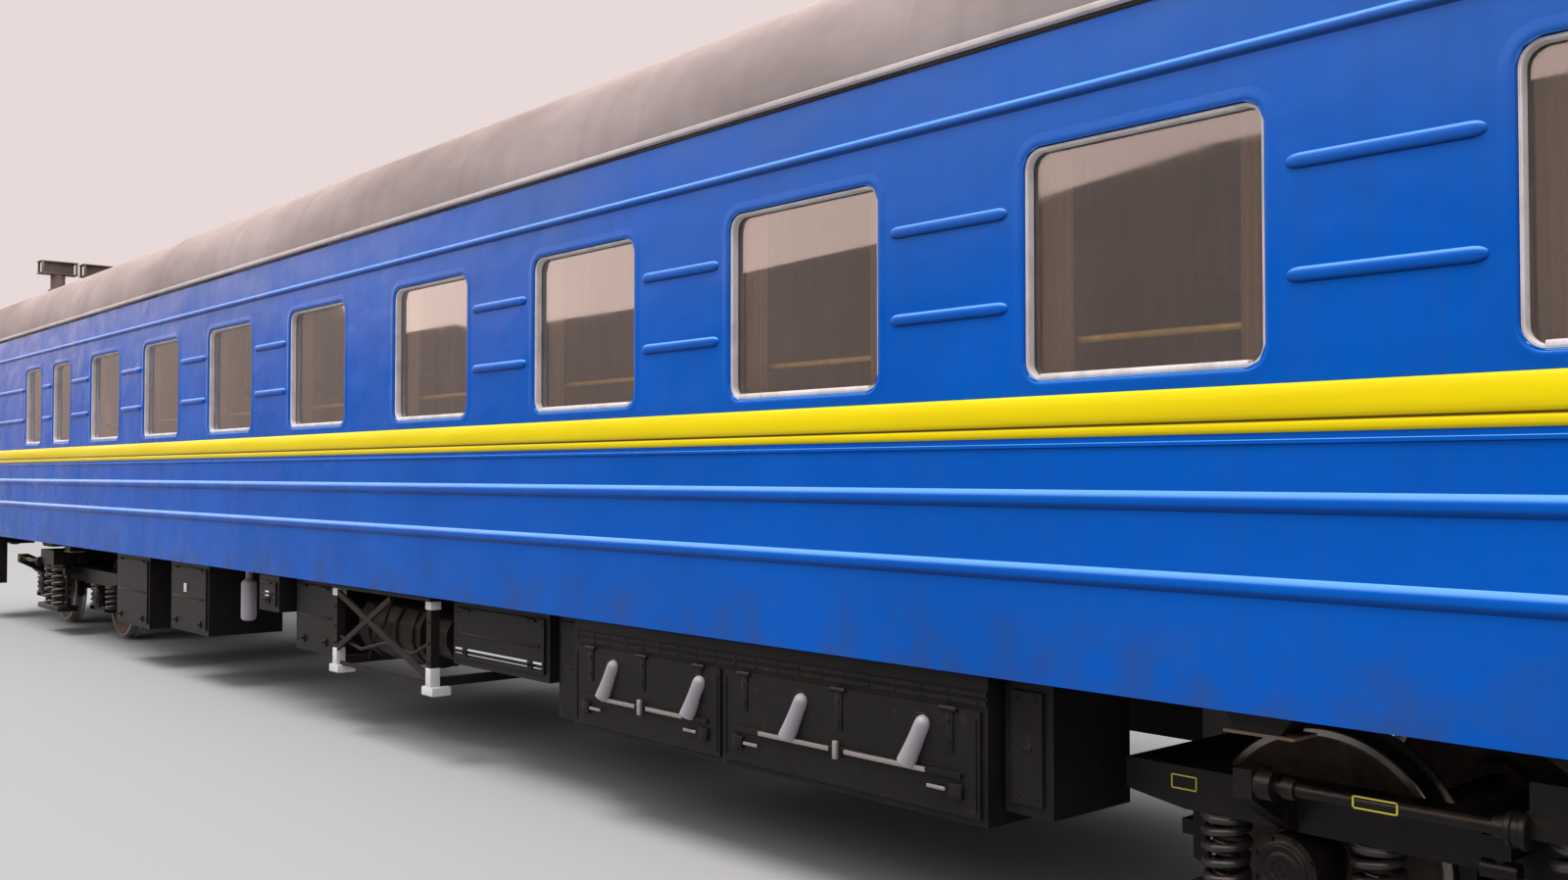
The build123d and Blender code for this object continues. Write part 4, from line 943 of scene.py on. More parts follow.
# Columns: distance down the pipe, radius
vent_section = [
    (-0.034, 0), (-0.032, 0.014), (-0.024, 0.026), (-0.010, 0.034), (0.006, 0.036), (0.05, 0.036),
    (0.10, 0.037), (length * 0.72, 0.039), (length - 0.006, 0.0425), (length, 0.043), (length, 0.039),
    (length - 0.03, 0.035), (length - 0.08, 0.032), (length - 0.08, 0),
]
bm = bmesh.new()
for x in vent_places:
    turned(bm, vent_section, (x + 0.012, battery_face - 0.018, 0.878), vent_slope, 28)
vents = piece("battery_vent_pipes", bm, pipe_grey)
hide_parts("battery_vents")

# Equipment boxes: folded sheet with drop doors, each with corner bolts and a rib across; the wider
# ones have two latches and two hinges. The shallow one carries light painted lines.
# Columns: start X, end X, side, outer distance, bottom Z
equipment = [
    (6.260, 6.500, -1, 1.400, 0.568), (2.900, 3.225, -1, 1.360, 0.498), (1.700, 2.860, -1, 1.400, 0.688),
    (-0.880, -0.110, -1, 1.390, 0.548), (-1.390, -0.980, -1, 1.490, 0.818),
    (-3.770, -2.760, -1, 1.420, 0.468), (-5.460, -4.410, -1, 1.420, 0.395), (-5.600, -4.300, 1, 1.430, 0.448),
    (-0.900, 0.900, 1, 1.430, 0.508), (1.500, 2.700, 1, 1.430, 0.548), (3.400, 5.800, 1, 1.450, 0.498),
]
bm = bmesh.new()
for start, end, side, outer, low in equipment:
    face = side * (outer + 0.014)
    near, far = start + 0.045, end - 0.045
    foot, head = low + 0.045, 1.055
    waist = (foot + head) / 2
    out = (0, side, 0)
    for x in (near + 0.03, far - 0.03):
        for z in (foot + 0.03, head - 0.03):
            bolt(bm, (x, face, z), out, 0.006, 0.005)
    if far - near > 0.3:
        for x in (near + 0.14, far - 0.14):
            slab(bm, (x - 0.03, face, foot + 0.02), (x + 0.03, face + side * 0.012, foot + 0.075), 0.003)
            boss(bm, 0.008, 0.018, 0.02, 0.006, (x, face + side * 0.010, foot + 0.05), out, 14)
            pin(bm, -0.05, 0.05, 0.009, (x, face + side * 0.004, head - 0.012), (1, 0, 0), 14)
    slab(bm, (near + 0.05, face, waist - 0.010), (far - 0.05, face + side * 0.006, waist + 0.010), 0.003)
box_trim = piece("equipment_box_fittings", bm, box_brown)
bm = bmesh.new()
slab(bm, (1.76, -1.4155, 0.790), (2.80, -1.4205, 0.802), 0.001)
slab(bm, (1.76, -1.4155, 0.765), (2.80, -1.4185, 0.769), 0.0008)
slab(bm, (-3.35, -1.434, 0.83), (-3.29, -1.446, 0.91), 0.003)
slab(bm, (-1.22, -1.504, 0.90), (-1.15, -1.509, 0.98), 0.003)
box_marks = piece("equipment_box_light_marks", bm, white_stencil)

# Hanging frame of the auxiliary set: angle-section legs with broad cast feet, painted white so
# that shunting staff see them. Brackets at the top are bolted to the sole bar.
hanger_legs = (0.030, 1.490)
bm = bmesh.new()
for x in hanger_legs:
    slab(bm, (x - 0.078, -1.482, 0.460), (x + 0.078, -1.343, 0.519), 0.008, 3)
    slab(bm, (x - 0.036, -1.474, 0.515), (x + 0.036, -1.404, 0.640), 0.004)
    slab(bm, (x - 0.040, -1.475, 1.020), (x + 0.040, -1.400, 1.074), 0.004)
white_feet = piece("hanger_white_feet", bm, white_stencil)
bm = bmesh.new()
for x in hanger_legs:
    for z in (0.68, 0.80, 0.94):
        bolt(bm, (x, -1.470, z), (0, -1, 0), 0.009, 0.009)
for x in (0.33, 0.76, 1.01):
    band = [(0, 0.20), (0, 0.240), (0.006, 0.2445), (0.030, 0.2445), (0.036, 0.240), (0.036, 0.20)]
    turned(bm, band, (x - 0.018, -1.115, 0.803), (1, 0, 0), 40)
cross_pipe = [
    (0.06, -1.440, 0.72), (0.40, -1.436, 0.66), (0.80, -1.436, 0.74), (1.20, -1.436, 0.70),
    (1.46, -1.440, 0.80),
]
bent_rod(bm, cross_pipe, 0.012, 10)
rising_pipe = [(0.45, -1.40, 0.60), (0.52, -1.40, 0.74), (0.66, -1.38, 0.86), (0.78, -1.38, 1.05)]
bent_rod(bm, rising_pipe, 0.010, 10)
hanger_parts = piece("hanger_bands_and_pipes", bm, frame_black)

# Air reservoirs: rolled cylinders with dished ends, held under the cross bearers by straps with
# bolted ends, each with a drain cock at its lowest point. A small upright one stands opposite.
tank_x, tank_z, tank_radius = -2.13, 0.888, 0.170
# Columns: distance along the tank from its middle, radius
dish = [(-0.875, 0), (-0.872, 0.06), (-0.862, 0.11), (-0.842, 0.148), (-0.815, 0.166), (-0.79, tank_radius)]
weld = [(-0.60, tank_radius), (-0.597, 0.172), (-0.585, 0.172), (-0.582, tank_radius)]
half_barrel = dish + weld
barrel = half_barrel + [(-x, r) for x, r in reversed(half_barrel)]
bm = bmesh.new()
for y in (1.18, 0.80):
    turned(bm, barrel, (tank_x, y, tank_z), (1, 0, 0), 44)
    for end in (-1, 1):
        x = tank_x + end * 0.71
        turned(
            bm,
            [(-0.025, 0.168), (-0.025, 0.1745), (0.025, 0.1745), (0.025, 0.168)],
            (x, y, tank_z),
            (1, 0, 0),
            44,
        )
        slab(bm, (x - 0.025, y - 0.070, 1.028), (x + 0.025, y + 0.070, 1.100), 0.004)
        bolt(bm, (x, y - 0.071, 1.07), (0, -1, 0), 0.010, 0.010)
    turned(
        bm,
        [(0, 0), (0, 0.014), (0.035, 0.014), (0.038, 0.009), (0.06, 0.009), (0.06, 0)],
        (tank_x, y, 0.722),
        (0, 0, -1),
        18,
    )
# Columns: height, radius
upright_tank = [
    (0.668, 0), (0.668, 0.030), (0.672, 0.048), (0.684, 0.059), (0.70, 0.062), (0.98, 0.062), (1.0, 0.056),
    (1.01, 0.040), (1.03, 0.026), (1.10, 0.026), (1.10, 0),
]
turned(bm, upright_tank, (-2.00, -1.350, 0), (0, 0, 1), 32)
tanks = piece("air_reservoir_tanks", bm, pipe_grey)
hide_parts("air_reservoirs")

# Brake rigging on the middle line: a cast cylinder with a bolted cover, a forged lever on its
# push rod, and pull rods pinned to the lever that run out towards the two bogies.
cylinder_x, rod_z, lever_x = -4.26, 0.888, -3.82
# Columns: distance along the cylinder from its middle, radius
cylinder_section = [
    (-0.28, 0), (-0.28, 0.12), (-0.272, 0.160), (-0.255, 0.172), (-0.235, 0.178), (-0.22, 0.178),
    (-0.218, 0.165), (0.10, 0.165), (0.102, 0.178), (0.13, 0.178), (0.14, 0.165), (0.20, 0.150),
    (0.262, 0.080), (0.28, 0.060), (0.28, 0),
]
bm = bmesh.new()
turned(bm, cylinder_section, (cylinder_x, 0, rod_z), (1, 0, 0), 44)
for n in range(10):
    angle = 2 * math.pi * (n + 0.5) / 10
    bolt(
        bm,
        (cylinder_x + 0.13, 0.168 * math.cos(angle), rod_z + 0.168 * math.sin(angle)),
        (1, 0, 0),
        0.008,
        0.008,
    )
slab(bm, (cylinder_x - 0.03, -0.10, rod_z), (cylinder_x + 0.03, 0.10, 1.10), 0.008)
pin(bm, 0, 0.165, 0.025, (-3.99, 0, rod_z), (1, 0, 0), 20)
slab(bm, (lever_x - 0.02, -0.30, rod_z - 0.02), (lever_x + 0.02, 0.30, rod_z + 0.02), 0.010, 3)
for side, start, end in ((1, -5.68, lever_x), (-1, lever_x, 5.68)):
    y = side * 0.26
    bent_rod(bm, [(start, y, rod_z), (end, y, rod_z)], 0.016, 16)
    reach = start if side > 0 else end
    slab(bm, (reach - 0.02, y - 0.02, rod_z - 0.02), (reach + 0.02, y + 0.02, 1.10), 0.004)
    pin(bm, 0, 0.05, 0.022, (lever_x, y, 0.860), (0, 0, 1), 18)
rigging = piece("brake_cylinder_and_rods", bm, pipe_grey)
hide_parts("brake_rigging")

# Bogies: welded frames of box section, dark and oily. Frame, bolster and brake gear keep their
# CAD shape under dusty paint.
bogie_black = finish(
    "bogie black",
    dusty_effect,
    {"Paint": (0.006, 0.0055, 0.0055, 1), "Dust Amount": 0.28, "Rust Amount": 0.20, "Shine": 0.38},
    relief=0.0022,
    Specular_IOR_Level=0.16,
)
for name in ("left", "right"):
    dress(bogie_black, f"bogie_{name}_frame", f"bogie_{name}_bolster", f"bogie_{name}_brake_gear")

# Coil springs: round bar wound hot, its end turns ground flat. Each wing spring and each bolster
# spring has a second, thinner coil inside, wound the other way.
spring_steel = finish(
    "spring steel",
    dusty_effect,
    {"Paint": (0.022, 0.020, 0.021, 1), "Dust Amount": 0.40, "Rust Amount": 0.25, "Shine": 0.30},
    relief=0.001,
)


def coil(bm, centre, low, high, mean, bar, turns, hand=1, steps=22, sides=10):
    """A spring's round bar, flat for three quarters of a turn at each end."""
    x, y = centre
    rise = high - low - 2 * bar
    total = turns + 1.5
    path = []
    for n in range(int(total * steps) + 1):
        turn = n / steps
        climb = min(max((turn - 0.75) / turns, 0.0), 1.0)
        angle = 2 * math.pi * turn * hand
        path.append((x + mean * math.cos(angle), y + mean * math.sin(angle), low + bar + rise * climb))
    bent_rod(bm, path, bar, sides, across=lambda p: (p.x - x, p.y - y, 0))


bogie_centres = [("left", -8.5), ("right", 8.5)]
half_wheelbase = 1.2
axle_height = 0.503
wing_low, wing_high = 0.384, 0.640
tray_low, tray_high = 0.347, 0.828
wing_y, tray_y = 1.018, 1.235
for name, centre in bogie_centres:
    bm = bmesh.new()
    for side in (-1, 1):
        for direction in (-1, 1):
            for end in (-1, 1):
                x = centre + direction * half_wheelbase + end * 0.29
                y = side * wing_y
                coil(bm, (x, y), wing_low, wing_high, 0.0765, 0.0175, 3.8)
                coil(bm, (x, y), wing_low, wing_high, 0.043, 0.010, 6.0, -1)
                boss(bm, 0.09, 0.012, 0.016, 0.06, (x, y, wing_low - 0.002), (0, 0, 1), 30)
                boss(bm, 0.09, 0.012, 0.016, 0.06, (x, y, wing_high), (0, 0, -1), 30)
            x = centre + direction * 0.165
            y = side * tray_y
            coil(bm, (x, y), tray_low, tray_high, 0.092, 0.0185, 5.6)
            coil(bm, (x, y), tray_low, tray_high, 0.052, 0.011, 8.5, -1)
            boss(bm, 0.108, 0.012, 0.018, 0.07, (x, y, tray_low - 0.002), (0, 0, 1), 30)
            boss(bm, 0.108, 0.012, 0.018, 0.07, (x, y, tray_high + 0.002), (0, 0, -1), 30)
    coils = piece(f"bogie_{name}_coils", bm, spring_steel, f"bogie_{name}", sharp=40)
    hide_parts(f"bogie_{name}_springs")

# Axle boxes: cast steel housings with spring wings, closed outside by a round cover whose rings
# stand one inside another, held by eight bolts.
# Columns: distance from the coach's middle line, radius
housing = [
    (0.903, 0.068), (0.903, 0.112), (0.910, 0.122), (0.925, 0.125), (1.100, 0.125), (1.112, 0.123),
    (1.120, 0.120), (1.121, 0.126), (1.133, 0.126), (1.134, 0.112), (1.136, 0.104), (1.141, 0.096),
    (1.146, 0.094), (1.150, 0.088), (1.150, 0.078), (1.146, 0.074), (1.145, 0.066), (1.149, 0.060),
    (1.1505, 0.050), (1.1505, 0.040), (1.146, 0.036), (1.146, 0.018), (1.151, 0.014), (1.151, 0),
]
bearing_hole = [(1.0953, 0), (1.0953, 0.068), (0.903, 0.068)]
# Columns: distance along the coach from the axle, height
wing = [
    (-0.395, 0.343), (-0.392, 0.379), (-0.385, 0.382), (-0.200, 0.382), (-0.165, 0.400), (-0.120, 0.480),
    (-0.108, 0.540), (-0.07, 0.600), (0.07, 0.600), (0.108, 0.540), (0.120, 0.480), (0.165, 0.400),
    (0.200, 0.382), (0.385, 0.382), (0.392, 0.379), (0.395, 0.343), (0.390, 0.340), (-0.390, 0.340),
]
wing_middle = 0.46
for name, centre in bogie_centres:
    bm = bmesh.new()
    for direction in (-1, 1):
        x = centre + direction * half_wheelbase
        for side in (-1, 1):
            turned(bm, housing, (x, 0, axle_height), (0, side, 0), 48)
            turned(bm, bearing_hole, (x, 0, axle_height), (0, side, 0), 48)
            for n in range(8):
                angle = 2 * math.pi * (n + 0.5) / 8
                along, up = 0.114 * math.cos(angle), 0.114 * math.sin(angle)
                bolt(bm, (x + along, side * 1.133, axle_height + up), (0, side, 0), 0.008, 0.009)
            for near, far in ((0.945, 0.965), (1.073, 1.093)):
                rings = []
                for y, size in ((near, 0.997), (near + 0.003, 1.0), (far - 0.003, 1.0), (far, 0.997)):
                    outline = [
                        (x + px * size, side * y, wing_middle + (pz - wing_middle) * size) for px, pz in wing
                    ]
                    rings.append([bm.verts.new(point) for point in outline])
                skin(bm, rings, capped=True)
            for way in (-1, 1):
                slab(
                    bm, (x + way * 0.185, side * 0.945, 0.341), (x + way * 0.394, side * 1.093, 0.3815), 0.004
                )
    boxes = piece(f"bogie_{name}_axle_box_castings", bm, bogie_black, f"bogie_{name}")
    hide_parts(f"bogie_{name}_axle_boxes")

# Swing links, spring trays and traction rods: forged, hung on pins. A traction rod runs from a
# rubber bush on the bolster to an arm on the frame, with a lock nut at each end. Small empty
# frames are painted on the rod and on the bogie in yellow.
rod_y, mark_y = 1.35, 1.3715
for name, centre in bogie_centres:
    bm = bmesh.new()
    for side in (-1, 1):
        slab(bm, (centre - 0.46, side * 1.123, 0.285), (centre + 0.46, side * 1.347, 0.345), 0.010, 3)
        for direction in (-1, 1):
            x = centre + direction * 0.42
            bent_rod(bm, [(x, side * tray_y, 0.345), (x, side * tray_y, 0.730)], 0.019, 18)
            boss(bm, 0.036, 0.05, 0.056, 0.030, (x, side * tray_y, 0.345), (0, 0, 1), 24)
            pin(bm, -0.055, 0.055, 0.030, (x, side * tray_y, 0.690), (1, 0, 0), 24)
        start = centre + side * 0.29
        reach = 1.165 - 0.29
        turned(
            bm,
            [
                (0, 0), (0, 0.052), (0.004, 0.056), (0.018, 0.056), (0.022, 0.050), (0.040, 0.050),
                (0.044, 0.056), (0.058, 0.056), (0.062, 0.050), (0.064, 0.036), (0.100, 0.036),
                (0.103, 0.024), (0.16, 0.022), (reach - 0.20, 0.022), (reach - 0.14, 0.024),
                (reach - 0.138, 0.036), (reach - 0.095, 0.036), (reach - 0.092, 0.024),
                (reach - 0.064, 0.024), (reach - 0.062, 0.052), (reach - 0.004, 0.052), (reach, 0.048),
                (reach, 0),
            ],
            (start, side * rod_y, 0.848),
            (side, 0, 0),
            32,
        )
    links = piece(f"bogie_{name}_links_and_rods", bm, bogie_black, f"bogie_{name}")
    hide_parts(f"bogie_{name}_links")
    bm = bmesh.new()
    for side in (-1, 1):
        x = centre + side * 0.75
        for height in (0.829, 0.866):
            low = (x - 0.075, side * mark_y, height)
            slab(bm, low, (x + 0.075, side * (mark_y + 0.002), height + 0.005), 0.0006, 1)
        for step in (-0.075, 0.069):
            low = (x + step, side * mark_y, 0.829)
            slab(bm, low, (x + step + 0.006, side * (mark_y + 0.002), 0.871), 0.0006, 1)
        x, y = centre + side * 1.62, side * 1.099
        for height in (0.712, 0.762):
            slab(bm, (x - 0.055, y, height), (x + 0.055, y + side * 0.002, height + 0.005), 0.0006, 1)
        for step in (-0.055, 0.050):
            slab(bm, (x + step, y, 0.712), (x + step + 0.005, y + side * 0.002, 0.767), 0.0006, 1)
    marks = piece(f"bogie_{name}_rod_marks", bm, yellow_stencil, f"bogie_{name}")

# Wheelsets: forged axles with rolled solid wheels. The tread and flange are worn bright, the
# dished web is rusty brown, and the hub stands a little proud.
wheel_effect, given, put = effect(
    "wheel steel",
    [
        ("Rust", "Color", (0.075, 0.042, 0.028, 1)),
        ("Dust", "Color", (0.15, 0.11, 0.085, 1)),
        ("Dust Amount", "Float", 0.6),
    ],
    [("Color", "Color"), ("Roughness", "Float"), ("Height", "Float")],
)
scale = noise(wheel_effect, 16.0, 7.0, (1, 1, 1), 0.7)
dust_mask = maths(
    wheel_effect,
    "MULTIPLY",
    spread(wheel_effect, noise(wheel_effect, 5.0, 6.0), 0.4, 0.7),
    given.outputs["Dust Amount"],
)
scaled = spread(wheel_effect, scale, 0.4, 0.7)
tone = tint(wheel_effect, scaled, given.outputs["Rust"], (0.035, 0.028, 0.025, 1))
feed(
    wheel_effect,
    put,
    {
        "Color": tint(wheel_effect, dust_mask, tone, given.outputs["Dust"]),
        "Roughness": spread(wheel_effect, scale, 0.3, 0.7, 0.55, 0.85),
        "Height": scale,
    },
)
wheel_rust = finish("wheel web", wheel_effect, relief=0.0012, Metallic=0.3)
tread_bright = finish(
    "wheel tread",
    dusty_effect,
    {"Paint": (0.26, 0.25, 0.24, 1), "Dust Amount": 0.25, "Rust Amount": 0.10, "Shine": 0.34},
    relief=0.0003,
    Metallic=0.9,
)
# Columns: distance from the middle of the coach, radius; the tread's own part is its own piece
web_section = [
    (0.752, 0.440), (0.752, 0.425), (0.768, 0.405), (0.785, 0.300), (0.778, 0.200), (0.752, 0.150),
    (0.722, 0.140), (0.704, 0.132), (0.700, 0.120), (0.700, 0.0825),
]
web_front = [
    (0.850, 0.440), (0.848, 0.430), (0.836, 0.418), (0.822, 0.400), (0.806, 0.300), (0.800, 0.200),
    (0.815, 0.150), (0.850, 0.132), (0.880, 0.128), (0.886, 0.122), (0.886, 0.066), (0.900, 0.064),
]
rim_section = [
    (0.752, 0.439), (0.726, 0.441), (0.720, 0.446), (0.720, 0.492), (0.724, 0.499), (0.731, 0.503),
    (0.739, 0.501), (0.745, 0.494), (0.750, 0.484), (0.757, 0.478), (0.770, 0.4755), (0.800, 0.4745),
    (0.838, 0.4720), (0.846, 0.469), (0.850, 0.463), (0.850, 0.439),
]
axle_end = [(0.900, 0.064), (1.088, 0.064), (1.0945, 0.058), (1.0945, 0)]
axle_middle = [(0, 0.080), (0.52, 0.080), (0.64, 0.0815), (0.700, 0.0825)]
web_seat = [(0.752, 0.440), (0.850, 0.440)]
rim_seat = [(0.752, 0.439), (0.850, 0.439)]
for name, centre in bogie_centres:
    for place, direction in (("west", -1), ("east", 1)):
        hub = (centre + direction * half_wheelbase, 0, axle_height)
        body = f"wheelset_{name}_{place}"
        bm = bmesh.new()
        for side in (-1, 1):
            for section in (web_section, web_front, axle_end, axle_middle, web_seat):
                turned(bm, section, hub, (0, side, 0), 56)
        bmesh.ops.remove_doubles(bm, verts=bm.verts, dist=1e-5)
        wheels = piece(f"{body}_axle_and_webs", bm, wheel_rust, body)
        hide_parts(f"wheelset_{name}_{place}")
        bm = bmesh.new()
        for side in (-1, 1):
            for section in (rim_section, rim_seat):
                turned(bm, section, hub, (0, side, 0), 72)
        bmesh.ops.remove_doubles(bm, verts=bm.verts, dist=1e-5)
        rims = piece(f"{body}_rims", bm, tread_bright, body)

# Gutter and eave lip: a folded strip along the top of each cantrail, its rolled edge catching the light.
# Its grey is lighter than the roof's as a painted highlight, and a black strip under it is a painted shadow.
lip_grey_painted_highlight = finish(
    "eave lip painted highlight", roof_effect, {"Paint": (0.58, 0.51, 0.49, 1), "Soot Amount": 0.35}, relief=0.002
)
# Columns: proud of the wall, height
gutter = [
    (-0.002, 3.604), (0.010, 3.604), (0.019, 3.608), (0.0212, 3.614), (0.0212, 3.628), (0.0195, 3.634),
    (0.0165, 3.636), (0.0145, 3.632), (0.014, 3.620), (0.006, 3.617), (-0.002, 3.617),
]
bm = bmesh.new()
for side in (-1, 1):
    rings = []
    for n in range(27):
        x = -body_end + 2 * body_end * n / 26
        rings.append([bm.verts.new((x, side * (wall_face + proud), z)) for proud, z in gutter])
    skin(bm, rings, capped=True)
gutters = piece("eave_gutters", bm, lip_grey_painted_highlight)
# Painted shadow: a thin black strip under the lip, where the shadow gap falls.
bm = bmesh.new()
for side in (-1, 1):
    for n in range(12):
        low = (-body_end + seam_pitch * n + 0.001, side * (wall_face - 0.002), 3.585)
        slab(bm, low, (low[0] + seam_pitch - 0.002, side * (wall_face + 0.0065), 3.6045), 0.002)
painted_shadow_strip = piece("eave_painted_shadow_strip", bm, frame_black)

# Flue caps: galvanised sheet, a round stem with a crosswise hood open at both ends, its edges
# wired, with rust under the rim.
flue_x = -9.86
flue_zinc = finish(
    "flue zinc",
    roof_effect,
    {"Paint": (0.22, 0.20, 0.19, 1), "Soot": (0.07, 0.045, 0.03, 1), "Soot Amount": 0.9},
    relief=0.004,
    Metallic=0.35,
)
bm = bmesh.new()
for y in (-0.95, -0.45):
    crown = crown_centre + math.sqrt(crown_radius ** 2 - y ** 2)
    # Columns: height, radius
    stem = [
        (crown - 0.02, 0), (crown - 0.02, 0.120), (crown + 0.012, 0.105), (crown + 0.02, 0.086),
        (4.44, 0.085),
    ]
    stem += [(4.446, 0.089), (4.454, 0.089), (4.46, 0.085), (4.492, 0.085), (4.492, 0)]
    turned(bm, stem, (flue_x, y, 0), (0, 0, 1), 32)
    for low, high in ((4.488, 4.500), (4.641, 4.653)):
        slab(bm, (flue_x - 0.10, y - 0.225, low), (flue_x + 0.10, y + 0.225, high), 0.003)
    for edge in (-0.223, 0.223):
        for height in (4.4935, 4.6475):
            bent_rod(bm, [(x, y + edge, height) for x in (flue_x - 0.098, flue_x + 0.098)], 0.005, 8)
    for x in (flue_x - 0.095, flue_x + 0.095):
        for reach in (-0.20, 0.20):
            slab(bm, (x - 0.003, y + reach - 0.015, 4.496), (x + 0.003, y + reach + 0.015, 4.645), 0.001)
    slab(bm, (flue_x - 0.02, y - 0.185, 4.496), (flue_x + 0.02, y + 0.185, 4.645), 0.003)
    for reach in (-0.20, 0.20):
        for x in (flue_x - 0.07, flue_x + 0.07):
            bolt(bm, (x, y + reach, 4.646), (0, 0, 1), 0.006, 0.006)
flues = piece("flue_caps", bm, flue_zinc)
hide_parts("roof_vents")

# Deck under the floor: corrugated steel sheet laid over the cross bearers and painted with the
# frame. Its ribs run lengthwise between the sole bars.
deck_half, deck_high, deck_low, trough_pitch = 1.305, 1.2795, 1.2660, 0.0607
trough = [(0.0, deck_high), (0.010, deck_high), (0.022, deck_low), (0.048, deck_low)]
deck_line = []
for n in range(43):
    deck_line += [(-deck_half + trough_pitch * n + across, z) for across, z in trough]
deck_line += [(deck_half, deck_high)]
bm = bmesh.new()
rings = [[bm.verts.new((x, y, z)) for y, z in deck_line] for x in (-11.55, -4.0, 4.0, 11.55)]
skin(bm, rings, closed=False)
deck = piece("corrugated_deck", bm, frame_black, sharp=20)
sheet = deck.modifiers.new("thickness", "SOLIDIFY")
sheet.thickness = 0.002

# Inside, seen through the glass: boards faced with brown wood-grain laminate for the corridor wall
# and partitions, cream laminate for ceiling and tables, and dark linoleum glued to the floor.
laminate_effect, given, put = effect(
    "wood laminate",
    [
        ("Light", "Color", (0.33, 0.185, 0.10, 1)),
        ("Dark", "Color", (0.16, 0.075, 0.038, 1)),
        ("Grain Scale", "Float", 5.0),
        ("Grain Amount", "Float", 0.8),
    ],
    [("Color", "Color"), ("Roughness", "Float")],
)
place = laminate_effect.nodes.new("ShaderNodeTexCoord")
size = laminate_effect.nodes.new("ShaderNodeMapping")
size.inputs["Scale"].default_value = (1, 1, 0.08)
laminate_effect.links.new(place.outputs["Object"], size.inputs["Vector"])
fibres = laminate_effect.nodes.new("ShaderNodeTexNoise")
feed(
    laminate_effect,
    fibres,
    {
        "Vector": size.outputs["Vector"],
        "Scale": given.outputs["Grain Scale"],
        "Detail": 8.0,
        "Roughness": 0.65,
        "Distortion": 1.2,
    },
)
fibre_mask = maths(
    laminate_effect,
    "MULTIPLY",
    spread(laminate_effect, fibres.outputs["Fac"], 0.35, 0.65),
    given.outputs["Grain Amount"],
)
feed(
    laminate_effect,
    put,
    {
        "Color": tint(laminate_effect, fibre_mask, given.outputs["Light"], given.outputs["Dark"]),
        "Roughness": spread(laminate_effect, fibres.outputs["Fac"], 0.3, 0.7, 0.30, 0.42),
    },
)
brown_laminate = finish("brown laminate", laminate_effect)
dress(brown_laminate, "partitions", "corridor_wall")
pale_laminate = finish(
    "pale laminate",
    laminate_effect,
    {"Light": (0.66, 0.60, 0.49, 1), "Dark": (0.58, 0.51, 0.40, 1), "Grain Amount": 0.4},
)
dress(pale_laminate, "ceiling", "tables")
linoleum = finish(
    "linoleum",
    laminate_effect,
    {"Light": (0.15, 0.09, 0.06, 1), "Dark": (0.08, 0.045, 0.03, 1), "Grain Scale": 14.0},
)
dress(linoleum, "floor")

# Corridor handrail: a long turned bar of varnished light wood below the middle of the windows.
# It is screwed to steel brackets that stand on the piers.
varnish = finish(
    "varnished rail",
    laminate_effect,
    {"Light": (0.98, 0.68, 0.16, 1), "Dark": (0.78, 0.48, 0.09, 1), "Grain Scale": 22.0},
    Coat_Weight=0.6,
    Coat_Roughness=0.08,
)
rail_start, rail_end, rail_y, rail_z = -6.2925, 9.4625, -1.3555, 2.422
bracket_foot = -1.4135
rail_places = (rail_start, rail_start + 0.006, -2, 2, 6, rail_end - 0.006, rail_end)
bm = bmesh.new()
bent_rod(bm, [(x, rail_y, rail_z) for x in rail_places], 0.014, 18)
rail = piece("handrail_bar", bm, varnish)
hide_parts("corridor_rail")
bright_steel = finish(
    "bright steel",
    dusty_effect,
    {"Paint": (0.58, 0.57, 0.56, 1), "Dust Amount": 0.12, "Rust Amount": 0.05, "Shine": 0.24},
    relief=0.0003,
    Metallic=1.0,
)
first_partition = -6.4925
bm = bmesh.new()
for n in range(1, 9, 2):
    x = first_partition + window_pitch * n
    arm = [(bracket_foot, -0.02), (-1.385, -0.018), (rail_y, -0.012)]
    bent_rod(bm, [(x, y, rail_z + z) for y, z in arm], 0.006, 12)
    boss(bm, 0.019, 0.004, 0.006, 0.015, (x, bracket_foot, rail_z - 0.02), (0, 1, 0), 20)
    turned(
        bm,
        [(-0.016, 0.0142), (-0.016, 0.0165), (0.016, 0.0165), (0.016, 0.0142)],
        (x, rail_y, rail_z),
        (1, 0, 0),
        20,
    )
brackets = piece("handrail_brackets", bm, bright_steel)
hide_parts("corridor_rail")

# Berths: foam on a board, covered in leathercloth drawn tight over rounded edges, with a piped
# seam round the top. Each is crowned a little and pulls in between its corners.
leather_effect, given, put = effect(
    "leathercloth",
    [
        ("Hide", "Color", (0.22, 0.045, 0.040, 1)),
        ("Worn", "Color", (0.34, 0.11, 0.085, 1)),
        ("Grain Scale", "Float", 160.0),
    ],
    [("Color", "Color"), ("Roughness", "Float"), ("Height", "Float")],
)
hide_place = leather_effect.nodes.new("ShaderNodeTexCoord")
pores = leather_effect.nodes.new("ShaderNodeTexVoronoi")
feed(leather_effect, pores, {"Vector": hide_place.outputs["Object"], "Scale": given.outputs["Grain Scale"]})
wear = spread(leather_effect, noise(leather_effect, 3.0, 5.0), 0.45, 0.7, 0.0, 0.7)
feed(
    leather_effect,
    put,
    {
        "Color": tint(leather_effect, wear, given.outputs["Hide"], given.outputs["Worn"]),
        "Roughness": spread(leather_effect, pores.outputs["Distance"], 0.0, 0.6, 0.55, 0.35),
        "Height": pores.outputs["Distance"],
    },
)
berth_hide = finish("berth leathercloth", leather_effect, relief=0.0006)


